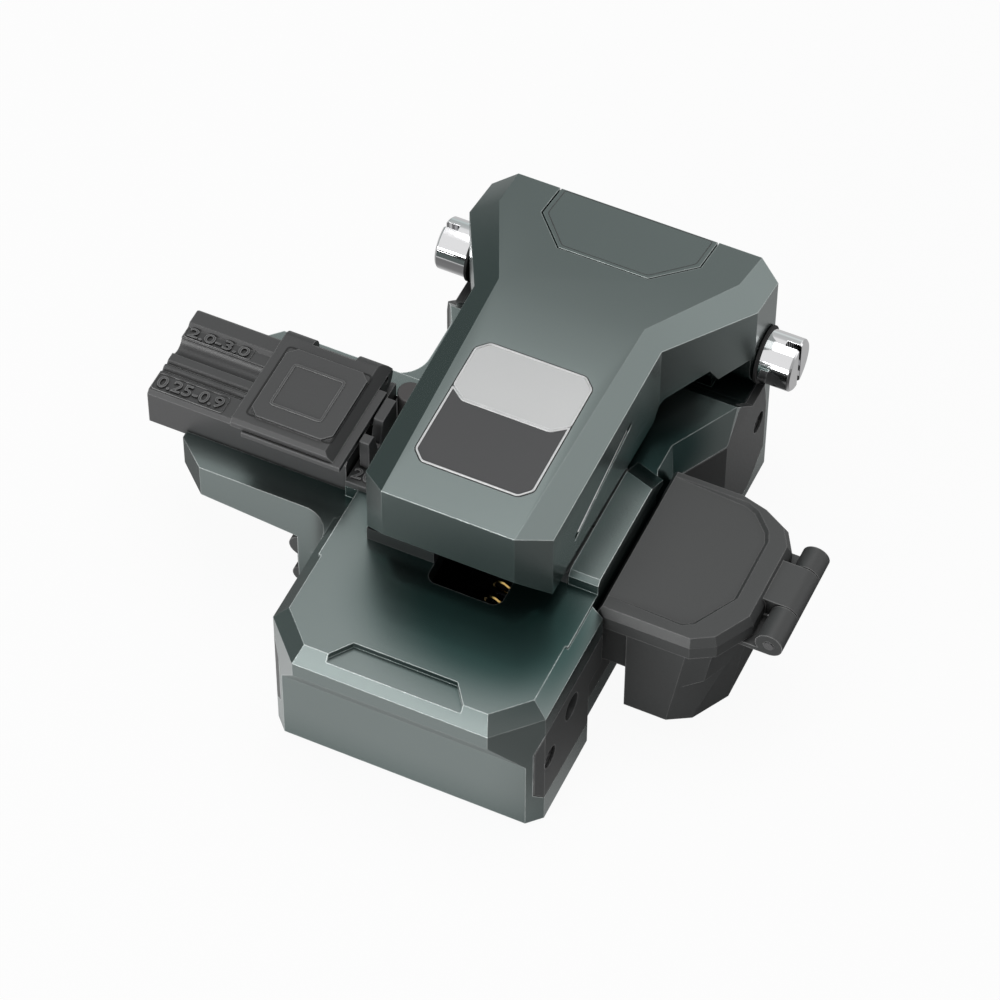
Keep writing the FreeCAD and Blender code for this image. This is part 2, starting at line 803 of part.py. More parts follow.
blade_holder = from_side(upright, upright_left, upright_right)
blade_bore = axle_diameter + 2 * running_gap


def turned(profile, y, z):
    """A ring turned about an axis along X, from x, radius pairs."""
    face = Part.Face(polygon([(x, y, z + r) for x, r in profile]))
    return face.revolve(Vector(0, y, z), Vector(1, 0, 0), full_turn)


blade_right = blade_x + blade_thick / 2
blade_left = blade_x - blade_thick / 2
blade_radius = blade_diameter / 2
blade = turned([(blade_x, blade_radius), (blade_right, blade_radius - blade_edge),
                (blade_right, blade_bore / 2), (blade_left, blade_bore / 2),
                (blade_left, blade_radius - blade_edge)], blade_y, blade_z)
hub_left = blade_right + running_gap
hub_right = hub_left + hub_thick
hub = turned([(hub_left, hub_diameter / 2), (hub_right - hub_chamfer, hub_diameter / 2),
              (hub_right, hub_diameter / 2 - hub_chamfer), (hub_right, blade_bore / 2),
              (hub_left, blade_bore / 2)], blade_y, blade_z)
nut_left = hub_right + cover_gap
nut_right = nut_left + nut_thick
axle_place = (blade_y, blade_z)
axle = join(rod("x", axle_place, upright_left - running_gap, nut_right, axle_diameter),
            bar("x", axle_place, upright_left - axle_head_thick - running_gap, upright_left - running_gap,
                axle_head_diameter))
axle_nut = bar("x", axle_place, nut_left, nut_right, nut_diameter, screw_sides // 2)
axle_nut = axle_nut.cut(rod("x", axle_place, nut_left - over, nut_right + over, axle_diameter))


def coil_spring(start_y, end_y, x, z, diameter, wire, coils):
    """A compression spring along Y, its wire drawn through short straight lengths."""
    turn_radius = (diameter - wire) / 2
    sections = []
    count = coils * spring_steps
    for i in range(count + 1):
        angle = 2 * math.pi * i / spring_steps
        centre_y = start_y + wire / 2 + (end_y - start_y - wire) * i / count
        ring = []
        for k in range(spring_sides):
            turn = 2 * math.pi * k / spring_sides
            radius = turn_radius + wire / 2 * math.cos(turn)
            ring.append((x + radius * math.cos(angle), centre_y + wire / 2 * math.sin(turn),
                         z + radius * math.sin(angle)))
        sections.append(polygon(ring))
    return Part.makeLoft(sections, True, True)


drive_spring = coil_spring(cavity_front_y + side_gap, carriage_front_y - side_gap, spring_x, spring_z,
                           spring_diameter, spring_wire, spring_coils)

# Rubber bumpers on the end walls of the cavity stop the carriage at both ends of its travel
bumper_place = (carriage_left + bumper_diameter / 2, carriage_plate_z + bumper_diameter / 2)
bumpers = [bar("y", bumper_place, cavity_front_y, carriage_front_y - carriage_travel - running_gap,
               bumper_diameter),
           bar("y", bumper_place, carriage_rear_y + running_gap, cavity_rear_y, bumper_diameter)]

# Lower clamps beside the slot, with rubber pads let into them
lower_top_z = lid_bottom_z - lower_clamp_drop
half_groove = groove_width / 2
groove = from_side([(fibre_y - half_groove, lower_top_z + over), (fibre_y + half_groove, lower_top_z + over),
                    (fibre_y + half_groove, lower_top_z), (fibre_y, lower_top_z - groove_depth),
                    (fibre_y - half_groove, lower_top_z)], -waist_half, waist_half)
frame_half = lid_corner_half - lid_wall - clear
lower_left = (-lid_waist_half + clear, slot_left - side_gap)
lower_right = (slot_right + side_gap, ledge_inner - side_gap)
clamp_centres = {"left": (sum(lower_left) / 2, clamp_width_left),
                 "right": ((slot_right + frame_half) / 2, clamp_width_right)}
lower_clamps = {}
lower_pads = {}
for side, (x0, x1) in (("left", lower_left), ("right", lower_right)):
    front = lower_front_y if side == "left" else ledge_front_y
    body = block(x0, x1, front, lower_rear_y, table_z, lower_top_z)
    centre_x, width = clamp_centres[side]
    pad = (centre_x - width / 2, centre_x + width / 2, fibre_y - lower_pad_half, fibre_y + lower_pad_half)
    lower_clamps[side] = body.cut([block(*pad, lower_top_z - lower_pad_depth, lower_top_z + over), groove])
    lower_pads[side] = block(*pad, lower_top_z - lower_pad_depth, lower_top_z + lower_pad_proud).cut(groove)

# Scale plate beside the lid, and what stands on it: a notched fibre guide and a round post
scale_plate = block(channel_right, -lid_side_x, inner_block_front_y, channel_rear_y,
                    inner_block_z - scale_plate_thick, inner_block_z)
guide_left = channel_right + guide_gap + clear
guide_top_z = inner_block_z + guide_height
guide_right = guide_left + guide_thick
notch = [(fibre_y - guide_notch, guide_top_z + over), (fibre_y + guide_notch, guide_top_z + over),
         (fibre_y + guide_notch, guide_top_z), (fibre_y + half_groove, fibre_z),
         (fibre_y - half_groove, fibre_z), (fibre_y - guide_notch, guide_top_z)]
fibre_guide = block(guide_left, guide_right, guide_front_y, guide_rear_y, inner_block_z, guide_top_z)
fibre_guide = fibre_guide.cut(from_side(notch, guide_left - over, guide_right + over))
guide_post = bar("z", (post_x, guide_rear_y + guide_gap + post_diameter / 2), inner_block_z, guide_top_z,
                 post_diameter, foot_sides)

# Ribbed cover on the outside of the wing's web
rib_front_y = platform_front_y + cover_thick
ribs = [bar("y", (-web_half, rib_top_z), rib_front_y, web_rear_y, rib_top_diameter, foot_sides),
        bar("y", (-web_half, rib_low_z), rib_front_y, web_rear_y, rib_low_diameter, foot_sides),
        block(-web_half - rib_neck, -web_half, rib_front_y, web_rear_y, rib_low_z, rib_top_z)]
web_cover = join(*ribs).common(block(-platform_left, -web_half, 0, rear_y, 0, table_z))

# Lid shell: a faceted top on straight sides, hollow inside
lid_corner_y = lid_front_y + lid_corner_depth
lid_rear_half = rear_half - lid_side_inset
lid_rear_face_half = lid_rear_half - lid_rear_corner
lid_crest_z = lid_front_z + lid_crest_rise
lid_rear_z = lid_front_z - lid_rear_drop
lid_corner_z = lid_front_z - lid_corner_drop
lid_lip_z = lid_front_z - lid_lip_drop
lid_arch_z = lid_bottom_z + lid_arch_rise
lid_outer = [(lid_front_half, lid_front_y), (lid_corner_half, lid_corner_y), (lid_waist_half, lid_waist_y),
             (lid_rear_half, lid_shoulder_y), (lid_rear_half, lid_rear_corner_y),
             (lid_rear_face_half, lid_rear_y)]


def top_height(y):
    """Height of the lid's top along its middle, in front of and behind the crest."""
    end_y, end_z = (lid_front_y, lid_front_z) if y < lid_crest_y else (lid_rear_y, lid_rear_z)
    return lid_crest_z + (end_z - lid_crest_z) * (y - lid_crest_y) / (end_y - lid_crest_y)


def lid_block():
    """The faceted outside of the lid, down to a flat bottom."""
    front = (lid_front_half, lid_front_y, lid_front_z)
    corner = (lid_corner_half, lid_corner_y, lid_corner_z)
    crest = (lid_crest_half, lid_crest_y, lid_crest_z)
    shoulder = (lid_inner_shoulder_half, lid_inner_shoulder_y, top_height(lid_inner_shoulder_y))
    rear = (lid_rear_face_half, lid_rear_y, lid_rear_z)
    waist_point = (lid_waist_half, lid_waist_y,
                   plane_height(front, corner, crest, lid_waist_half, lid_waist_y))
    side_point = (lid_rear_half, lid_shoulder_y,
                  plane_height(crest, waist_point, shoulder, lid_rear_half, lid_shoulder_y))
    end_point = (lid_rear_half, lid_rear_corner_y,
                 plane_height(shoulder, side_point, rear, lid_rear_half, lid_rear_corner_y))
    edge = [front, corner, waist_point, side_point, end_point, rear]
    bevels = [[front, corner, waist_point, crest], [crest, waist_point, side_point, shoulder],
              [shoulder, side_point, end_point, rear]]

    def flip(points):
        return [(-x, y, z) for x, y, z in points]

    faces = [[front, crest] + flip([crest, front]), [crest, shoulder, rear] + flip([rear, shoulder, crest])]
    low = shoulder_z
    for facet in bevels:
        faces += [facet, flip(facet)]
    for a, b in zip(edge, edge[1:]):
        wall_face = [a, b, (b[0], b[1], low), (a[0], a[1], low)]
        faces += [wall_face, flip(wall_face)]
    for a in (front, rear):
        faces.append([a, (-a[0], a[1], a[2]), (-a[0], a[1], low), (a[0], a[1], low)])
    right = [(x, y, low) for x, y, z in edge]
    faces.append(right + flip(list(reversed(right))))
    return solid_of(faces)


ceiling_z = lid_corner_z - lid_skin


def lid_arm():
    """One arm of the hinge: a round boss with the skirt that leads down to it, inside the lid's outline."""
    radius = hinge_boss_diameter / 2
    front = hinge_y - radius
    skirt_z = lid_arch_z - lid_skirt_drop
    side = [(lid_skirt_y, lid_arch_z), (lid_skirt_y + lid_skirt_run, skirt_z), (front, skirt_z),
            (front, hinge_z), (lid_rear_corner_y, hinge_z), (lid_rear_corner_y, lid_arch_z + over),
            (lid_skirt_y, lid_arch_z + over)]
    arm = join(from_side(side, arm_inner_x, lid_rear_half),
               rod("x", (hinge_y, hinge_z), arm_inner_x, lid_rear_half, hinge_boss_diameter))
    return arm.common(from_above(both_sides(lid_outer), 0, lid_crest_z))


def lid_shell():
    """The lid: faceted top, sloping finger lip, arched sides, side grooves and two round hinge arms."""
    kept = [(lid_front_y - over, lid_lip_z), (lid_front_y, lid_lip_z), (lid_corner_y, lid_bottom_z),
            (lid_arch_y, lid_bottom_z), (lid_arch_y + lid_arch_run, lid_arch_z),
            (lid_rear_y + over, lid_arch_z), (lid_rear_y + over, lid_crest_z + over),
            (lid_front_y - over, lid_crest_z + over)]
    shell = lid_block().common(from_side(kept, -lid_rear_half - over, lid_rear_half + over))
    below_skin = [(lid_front_y, 0), (lid_rear_y, 0), (lid_rear_y, lid_rear_z - lid_skin),
                  (lid_crest_y, ceiling_z + lid_crest_rise), (lid_front_y, ceiling_z)]
    hollow = from_above(inset(both_sides(lid_outer), lid_wall), 0, lid_crest_z + over)
    hollow = hollow.common(from_side(below_skin, -lid_rear_half, lid_rear_half))
    arms_room = block(arm_inner_x, lid_rear_half, lid_skirt_y, lid_rear_y, 0, lid_crest_z)
    hollow = hollow.cut(arms_room).cut(mirrored(arms_room))
    arm = lid_arm()
    grooves = side_groove()
    bore = rod("x", (hinge_y, hinge_z), -lid_rear_half - over, lid_rear_half + over, bush_diameter)
    whole = join(shell.cut(hollow), arm, mirrored(arm))
    return whole.cut([bore, grooves, mirrored(grooves)])


def side_groove():
    """The long groove in the lid's right side, rising to the back."""
    low = lid_front_z - side_groove_front_drop
    high = lid_front_z - side_groove_rear_drop
    line = [(side_groove_front_y, low), (side_groove_rear_y, high),
            (side_groove_rear_y, high + side_groove_width), (side_groove_front_y, low + side_groove_width)]
    bottom_x = lid_corner_half - side_groove_depth
    return from_side(line, bottom_x, lid_waist_half + over)


def top_plate(points, depth, raise_by):
    """A plate that follows the slope of the lid's top, from an outline seen from above."""
    low = [(x, y, top_height(y) - depth) for x, y in points]
    return Part.Face(polygon(low)).extrude(Vector(0, 0, depth + raise_by))


label_outline = cut_corners(-label_half, label_half, label_front_y, label_rear_y, label_corner)
label_solid = top_plate(label_outline, label_depth, 0)
label_room = top_plate(label_outline, label_depth, over)
below_split = [(-label_half - over, label_front_y - over), (label_half + over, label_front_y - over),
               (label_half + over, label_split_y), (label_half, label_split_y),
               (label_split_half, label_split_y - label_split_dip),
               (-label_split_half, label_split_y - label_split_dip),
               (-label_half, label_split_y), (-label_half - over, label_split_y)]
below_split = from_above(below_split, 0, lid_crest_z + over)
panel_outline = [(rear_panel_front_half, rear_panel_front_y), (rear_panel_half, rear_panel_corner_y),
                 (rear_panel_half, lid_rear_y)]
panel_room = top_plate(both_sides(panel_outline), rear_panel_thick, over)
panel_inner = inset(both_sides(panel_outline), [seam, seam, 0, seam, seam, seam])
rear_panel = top_plate(panel_inner, rear_panel_thick, 0)

# Inside the lid: a frame that carries the two sprung clamps and the anvil, which hang in it by a flange
lid_room_height = ceiling_z - lower_top_z
frame_z = lower_top_z + lid_room_height * frame_share
frame_top_z = frame_z + lid_room_height * frame_thick_share
flange_top_z = frame_top_z + lid_room_height * flange_share
clamp_pad_thick = lid_room_height * clamp_pad_share
lift = lid_room_height * lift_share
frame = block(-frame_half, frame_half, lid_corner_y + frame_front_inset, frame_rear_y, frame_z, frame_top_z)
foot_z = lower_top_z + lower_pad_proud + clear
clamp_block_z = foot_z + clamp_pad_thick


def hanging(centre_x, width, length, bottom_z):
    """A block that hangs in the frame by a stem and a flange, and the window that it slides in."""
    top_z = frame_z - lift - clear
    half, reach = width / 2, length / 2
    stem_half, stem_reach = half - stem_inset, stem_length / 2
    body = block(centre_x - half, centre_x + half, fibre_y - reach, fibre_y + reach, bottom_z, top_z)
    stem = block(centre_x - stem_half, centre_x + stem_half, fibre_y - stem_reach, fibre_y + stem_reach,
                 top_z - over, flange_top_z)
    flange = block(centre_x - half, centre_x + half, fibre_y - stem_reach, fibre_y + stem_reach,
                   frame_top_z + running_gap, flange_top_z)
    window = block(centre_x - stem_half - side_gap, centre_x + stem_half + side_gap,
                   fibre_y - stem_reach - side_gap, fibre_y + stem_reach + side_gap,
                   frame_z - over, frame_top_z + over)
    return join(body, stem, flange), window


clamp_parts = {}
windows = []
for side, (centre_x, width) in clamp_centres.items():
    body, window = hanging(centre_x, width, clamp_length, clamp_block_z)
    pad = block(centre_x - width / 2, centre_x + width / 2, fibre_y - clamp_length / 2,
                fibre_y + clamp_length / 2, foot_z, clamp_block_z)
    clamp_parts[side] = (body, pad)
    windows.append(window)
anvil_tip_z = foot_z + anvil_set_back
anvil_block_z = anvil_tip_z + clamp_pad_thick
anvil, anvil_window = hanging(blade_x, anvil_width, anvil_length, anvil_block_z)
windows.append(anvil_window)
anvil_pad = block(blade_x - anvil_width / 2, blade_x + anvil_width / 2, fibre_y - anvil_tip_length / 2,
                  fibre_y + anvil_tip_length / 2, anvil_tip_z, anvil_block_z)

# Hinge: shaft, bushes in the lid's arms, rings and the slotted end knobs
hinge_place = (hinge_y, hinge_z)
ring_x = lid_rear_half + side_gap
knob_x = ring_x + ring_thick
knob_end = knob_x + knob_length
shaft = rod("x", hinge_place, -knob_x, knob_x, shaft_diameter)
bush = rod("x", hinge_place, arm_inner_x, lid_rear_half, bush_diameter)
bush = bush.cut(rod("x", hinge_place, arm_inner_x - over, lid_rear_half + over,
                    shaft_diameter + 2 * running_gap))
ring = rod("x", hinge_place, ring_x, knob_x, ring_diameter)
ring = ring.cut(rod("x", hinge_place, ring_x - over, knob_x + over, shaft_diameter))
knob = rod("x", hinge_place, knob_x, knob_end, knob_diameter)
knob = knob.makeChamfer(knob_chamfer, [e for e in knob.Edges if abs(e.CenterOfMass.x - knob_end) < touching])
knob = knob.cut(block(knob_end - knob_slot_depth, knob_end + over, hinge_y - knob_slot_width / 2,
                      hinge_y + knob_slot_width / 2, hinge_z - knob_diameter, hinge_z + knob_diameter))

# Fibre holder: a bar with size grooves, its hinged clamp and pads
holder_top_z = holder_z + holder_front_height
holder_step_z = holder_top_z + holder_rear_step
holder_rim_z = holder_step_z + holder_rim_step
clamp_bottom_z = holder_top_z + clamp_bottom_rise
clamp_top_z = clamp_bottom_z + clamp_thick
clamp_hinge_y = holder_rear_y - clamp_barrel_radius
clamp_hinge_z = clamp_top_z - clamp_barrel_radius
clamp_pin_place = (clamp_hinge_y, clamp_hinge_z)
clamp_pin_room = rod("x", clamp_pin_place, -clamp_left - over, -clamp_right + over,
                     clamp_pin_diameter + 2 * running_gap)


def holder_bar():
    """The bar: a front step with two fine grooves, a groove for cable, a rear step and a rim."""
    step_start_y = cable_groove_y + cable_groove_diameter / 2
    rim_rear_y = holder_rear_y - holder_edge
    rim_front_y = rim_rear_y - holder_rim_width
    section = [(holder_front_y, holder_z), (holder_rear_y, holder_z),
               (holder_rear_y, holder_rim_z - holder_edge), (rim_rear_y, holder_rim_z),
               (rim_front_y, holder_rim_z), (rim_front_y - holder_rim_step, holder_step_z),
               (step_start_y, holder_step_z), (step_start_y, holder_top_z),
               (holder_front_y + holder_edge, holder_top_z), (holder_front_y, holder_top_z - holder_edge)]
    body = from_side(section, -holder_left, -holder_right)
    cable_z = holder_top_z + cable_groove_diameter / 2 - cable_groove_depth
    left, right = -holder_left - over, -holder_right + over
    tools = [rod("x", (cable_groove_y, cable_z), left, right, cable_groove_diameter)]
    half = fine_groove_width / 2
    for y in (fibre_y - fine_groove_pitch / 2, fibre_y + fine_groove_pitch / 2):
        tools.append(from_side([(y - half, holder_top_z + over), (y + half, holder_top_z + over),
                                (y + half, holder_top_z), (y, holder_top_z - fine_groove_depth),
                                (y - half, holder_top_z)], left, right))
    tools.append(block(-clamp_left - side_gap, right, holder_front_y - over, holder_rear_y + over,
                       holder_top_z, clamp_top_z))
    ear_y0, ear_y1 = clamp_hinge_y - clamp_ear_radius, clamp_hinge_y + clamp_ear_radius
    ear = join(block(-clamp_ear_left, -clamp_ear_right, ear_y0, ear_y1, holder_top_z - over, clamp_hinge_z),
               rod("x", clamp_pin_place, -clamp_ear_left, -clamp_ear_right, 2 * clamp_ear_radius))
    return join(body.cut(tools), ear).cut(clamp_pin_room)


def holder_cover():
    """The clamp: a flat cap with a raised pad, and the barrel that turns on the holder's ear."""
    front_y = holder_front_y - clamp_front_overhang
    edge = holder_edge
    side = [(front_y, clamp_bottom_z), (clamp_hinge_y, clamp_bottom_z), (clamp_hinge_y, clamp_top_z),
            (front_y + edge, clamp_top_z), (front_y, clamp_top_z - edge)]
    cap = from_side(side, -clamp_left, -clamp_right)
    barrel = rod("x", clamp_pin_place, -clamp_left, -clamp_right, 2 * clamp_barrel_radius)
    slant_x = -clamp_right - clamp_end_chamfer
    slant = [(-clamp_right + over, clamp_bottom_z), (-clamp_right, clamp_bottom_z), (slant_x, clamp_top_z),
             (slant_x, clamp_top_z + over), (-clamp_right + over, clamp_top_z + over)]
    cap = join(cap, barrel).cut(from_front(slant, front_y - over, holder_rear_y + over))
    pad = cut_corners(-clamp_left + clamp_pad_inset, slant_x, front_y + clamp_pad_inset,
                      clamp_hinge_y - clamp_pad_inset, clamp_pad_corner)
    cap = join(cap, from_above(pad, clamp_top_z - holder_gap, clamp_top_z + clamp_pad_rise))
    left, right = -clamp_ear_left - side_gap, -clamp_ear_right + side_gap
    rear_y = clamp_hinge_y + clamp_barrel_radius + over
    below = block(left, right, clamp_hinge_y - clamp_barrel_radius - clear, rear_y,
                  clamp_hinge_z - clamp_barrel_radius - over, clamp_hinge_z)
    behind = block(left, right, clamp_hinge_y, rear_y, clamp_hinge_z - over, clamp_top_z + over)
    around = rod("x", clamp_pin_place, left, right, 2 * (clamp_ear_radius + clear))
    return cap.cut([join(around, below, behind), clamp_pin_room])


holder_pin = rod("x", clamp_pin_place, -clamp_left + clear, -clamp_right - clamp_end_chamfer,
                 clamp_pin_diameter)
plate_bottom_z = clamp_bottom_z - under_plate_thick
plate_front = holder_front_y - under_plate_overhang
plate_rear = clamp_hinge_y - clamp_barrel_radius - clear
clamp_plate = block(-under_plate_left, -under_plate_right, plate_front, plate_rear, plate_bottom_z,
                    clamp_bottom_z)
grip_pad = block(-under_plate_left + grip_inset, -holder_right - grip_inset, holder_front_y + grip_inset,
                 plate_rear - grip_inset, holder_top_z + clear, plate_bottom_z)

# A pin in the channel's floor runs in a groove under the holder and ends its travel both ways
stop_place = (-holder_left + stop_inset, holder_front_y + holder_width * stop_share)
stop_pin = bar("z", stop_place, channel_z - stop_height, channel_z + stop_height, stop_diameter)
stop_radius = stop_diameter / 2
stop_room = bar("z", stop_place, channel_z - stop_height, channel_z + over, stop_diameter)
stop_groove = block(stop_place[0] - stop_radius - running_gap,
                    stop_place[0] + holder_travel + stop_radius + running_gap,
                    stop_place[1] - stop_radius - running_gap, stop_place[1] + stop_radius + running_gap,
                    channel_z - over, channel_z + stop_height + clear)
holder_magnets = []
magnet_rooms = []
for x in (-holder_right - magnet_inset, -holder_left + 2 * magnet_inset):
    place = (x, holder_rear_y - holder_width * magnet_share)
    magnet_top_z = holder_z + magnet_height
    holder_magnets.append(bar("z", place, holder_z, magnet_top_z, magnet_diameter, foot_sides))
    magnet_rooms.append(bar("z", place, holder_z - over, magnet_top_z, magnet_diameter, foot_sides))

# Scrap collector: open box, hinged lid and pin
collector_left = waist_half + collector_gap
collector_front_y = slab_end_y + collector_gap
collector_rear_y = collector_front_y + collector_length
collector_body_left = collector_left + collector_body_inset
cut_run = collector_right - collector_lid_reach - collector_cut_x


def collector_outline(left, shrink):
    """The collector from above: its two outer corners cut, and the ends of the cuts softened."""
    x1 = collector_right - shrink
    y0, y1 = collector_front_y + shrink, collector_rear_y - shrink
    corner_x, corner_y = collector_corner_x, collector_corner_y
    sharp = [(left, y0), (x1 - corner_x, y0), (x1, y0 + corner_y), (x1, y1 - corner_x), (x1 - corner_y, y1),
             (left, y1)]
    return softened(sharp, collector_corner_soft, (1, 3, 4))


def corner_wedge(inwards):
    """What the lower front corner of the box lacks: a 45 degree cut under a ridge that rises outwards."""
    y = collector_front_y + collector_lid_reach / 2 - over
    x = collector_cut_x - over - inwards
    run = cut_run + 2 * over + inwards
    corners = [(x, y), (x + run, y), (x + run, y + run)]
    rise = (collector_cut_end_z - collector_cut_z) / cut_run
    top = [(x, y, collector_cut_z - over * rise - inwards),
           (x + run, y, collector_cut_end_z - inwards),
           (x + run, y + run, collector_cut_end_z + over * rise - inwards)]
    return bridge([(a, b, 0) for a, b in corners], top)


def collector_box():
    """The box: drafted outside with a shallower hook towards the casting, hollow, open at the top."""
    rim_z = collector_seam_z - side_gap
    shrink = collector_lid_reach
    high = collector_outline(collector_body_left, shrink)
    low = [(x - (collector_draft if x > collector_cut_x else 0), y) for x, y in high]
    outer = tapered(low, high, collector_bottom_z, rim_z).cut(corner_wedge(0))
    inner_low = inset(low, collector_wall)
    inner_high = inset(high, collector_wall)
    inner = tapered(inner_low, inner_high, collector_bottom_z + collector_wall, rim_z)
    inner = inner.cut(corner_wedge(collector_wall))
    hook_y0 = collector_front_y + shrink + collector_hook_inset
    hook_y1 = collector_rear_y - shrink - collector_hook_inset
    hook = block(collector_left, collector_body_left + over, hook_y0, hook_y1, collector_hook_z, rim_z)
    hook_room = block(collector_left + collector_wall, collector_body_left + collector_wall,
                      hook_y0 + collector_wall, hook_y1 - collector_wall,
                      collector_hook_z + collector_wall, rim_z + over)
    mouth = from_above(inner_high, rim_z - running_gap, rim_z + over)
    return join(outer, hook).cut([inner, hook_room, mouth])


collector_hinge_place = (collector_hinge_x, collector_hinge_z)
knuckle_radius = knuckle_diameter / 2
knuckle_low_z = collector_hinge_z - knuckle_radius
outer_spans = [(collector_hinge_front_y, collector_tongue_front_y - side_gap),
               (collector_tongue_rear_y + side_gap, collector_hinge_rear_y)]
box_knuckles = []
box_inside = from_above(inset(collector_outline(collector_body_left, collector_lid_reach), collector_wall),
                        0, collector_top_z)
for y0, y1 in outer_spans:
    web = block(collector_right - 2 * collector_lid_reach - collector_wall, collector_hinge_x, y0, y1,
                knuckle_low_z, collector_seam_z - side_gap)
    box_knuckles += [web.cut(box_inside), rod("y", collector_hinge_place, y0, y1, knuckle_diameter)]
collector_bore = rod("y", collector_hinge_place, collector_hinge_front_y - over,
                     collector_hinge_rear_y + over, hinge_pin_diameter + 2 * running_gap)
collector_body = join(collector_box(), *box_knuckles).cut(collector_bore)
collector_pin = rod("y", collector_hinge_place, collector_hinge_front_y - hinge_pin_proud,
                    collector_hinge_rear_y + hinge_pin_proud, hinge_pin_diameter)


def collector_lid():
    """The lid of the box: bevelled rim, a tray sunk into its top, and the tongue of its hinge."""
    outline = collector_outline(collector_left, 0)
    side_z = collector_top_z - collector_bevel_drop
    body = join(from_above(outline, collector_seam_z, side_z),
                tapered(outline, inset(outline, collector_bevel), side_z, collector_top_z))
    x0 = collector_left - over
    x1 = collector_right - tray_margin
    y0, y1 = collector_front_y + tray_front_margin, collector_rear_y - tray_rear_margin
    corner_x, corner_y = collector_corner_x, collector_corner_y
    rim = [(x0, y0), (x1 - corner_x, y0), (x1, y0 + corner_y), (x1, y1 - corner_x), (x1 - corner_x, y1),
           (x0, y1)]
    rim = softened(rim, collector_corner_soft / 2, (1, 3, 4))
    floor = inset(rim, tray_slope)
    floor = [(x0 if x < collector_left else x, y) for x, y in floor]
    slope = tray_depth / (x1 - x0)
    tray = bridge([(x, y, collector_top_z - running_gap - slope * (x - x0)) for x, y in floor],
                  [(x, y, collector_top_z + running_gap) for x, y in rim])
    tongue = block(collector_right - collector_bevel - over, collector_hinge_x, collector_tongue_front_y,
                   collector_tongue_rear_y, collector_seam_z, collector_hinge_z + knuckle_radius)
    barrel = rod("y", collector_hinge_place, collector_tongue_front_y, collector_tongue_rear_y,
                 knuckle_diameter)
    hollow = inset(collector_outline(collector_body_left, collector_lid_reach), 2 * collector_wall)
    skirt_room = from_above(hollow, collector_seam_z - over, side_z - collector_lid_reach)
    return join(body.cut(tray), tongue, barrel).cut([skirt_room, collector_bore])


# Screws that hold the collector to the casting, from inside the box
collector_screws = []
collector_screw_rooms = []
for y in (collector_front_y + collector_screw_inset, collector_rear_y - collector_screw_inset):
    place = (y, collector_hook_z + collector_wall + screw_head_diameter)
    head_x = collector_left + collector_wall + screw_head_height
    collector_screws.append(screw("x", place, head_x, -1))
    collector_screw_rooms.append(screw_room("x", place, head_x, -1))

# Everything together
keep("base_body", base_body(), *cover_rooms, *cover_screw_rooms, vent, *collector_screw_rooms, stop_room,
     scale_plate)
keep("right_side_cover", right_cover, *cover_screw_rooms, vent, *collector_screw_rooms)
keep("left_side_cover", left_cover, *cover_screw_rooms)
keep("side_cover_screws", Part.makeCompound(cover_screws))
keep("bottom_plate", bottom_plate, *under_rooms)
keep("bottom_plate_screws", Part.makeCompound(under_screws))
keep("rubber_feet", Part.makeCompound(feet))
keep("web_cover", web_cover)
keep("scale_plate", scale_plate)
keep("fibre_guide", fibre_guide)
keep("guide_post", guide_post)
keep("guide_rail", guide_rail, *rail_rooms)
keep("guide_rail_screws", Part.makeCompound(rail_screws))
keep("lower_clamp_left", lower_clamps["left"])
keep("lower_clamp_right", lower_clamps["right"])
keep("lower_pad_left", lower_pads["left"])
keep("lower_pad_right", lower_pads["right"])
keep("hinge_shaft", shaft)
keep("hinge_knob_right", knob)
keep("hinge_knob_left", mirrored(knob))
keep("hinge_rings", Part.makeCompound([ring, mirrored(ring)]))
keep("drive_spring", drive_spring)
keep("carriage_bumpers", Part.makeCompound(bumpers))
keep("collector_box", collector_body, *collector_screw_rooms)
keep("collector_screws", Part.makeCompound(collector_screws))
keep("collector_pin", collector_pin)
keep("blade_carriage", carriage)
keep("rail_runner", runner)
keep("blade_holder", blade_holder, rod("x", axle_place, -rear_half, rear_half, axle_diameter))
keep("blade_axle", axle)
keep("blade_axle_nut", axle_nut)
keep("blade_wheel", blade)
keep("blade_hub", hub)
keep("lid_shell", lid_shell(), label_room, panel_room)
keep("lid_rear_panel", rear_panel)
keep("label_upper", label_solid.cut(below_split))
keep("label_lower", label_solid.common(below_split))
keep("lid_frame", frame, *windows)
keep("hinge_bushes", Part.makeCompound([bush, mirrored(bush)]))
keep("upper_clamp_left", clamp_parts["left"][0])
keep("upper_pad_left", clamp_parts["left"][1])
keep("upper_clamp_right", clamp_parts["right"][0])
keep("upper_pad_right", clamp_parts["right"][1])
keep("anvil", anvil)
keep("anvil_pad", anvil_pad)
keep("holder_body", holder_bar(), *magnet_rooms, stop_groove)
keep("holder_stop", stop_pin)
keep("holder_magnets", Part.makeCompound(holder_magnets))
keep("holder_pin", holder_pin)
keep("holder_clamp", holder_cover())
keep("clamp_plate", clamp_plate)
keep("holder_grip_pad", grip_pad)
keep("collector_lid", collector_lid())

# Origin: the middle of the footprint, on the bench
whole = Part.makeCompound(list(PARTS.values())).BoundBox
origin_x = (whole.XMin + whole.XMax) / 2
origin_y = (whole.YMin + whole.YMax) / 2
os.makedirs("parts", exist_ok=True)
for name, shape in PARTS.items():
    moved = shape.copy()
    moved.translate(Vector(-origin_x, -origin_y, -whole.ZMin))
    moved.exportStep(f"parts/{name}.step")
print(len(PARTS), "parts, origin at", round(origin_x, 3), round(origin_y, 3),
      "size", round(whole.XLength, 2), round(whole.YLength, 2), round(whole.ZLength, 2))
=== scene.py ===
# %% [markdown]
# # Dressing a fibre cleaver
# A fibre cleaver is a bench tool that scores and snaps a glass fibre. The CAD model gives its
# shapes and its joints. This lesson gives it the look of the real one: a satin casting with
# bright edges, dark moulded plastic, chrome caps and a small metal label.

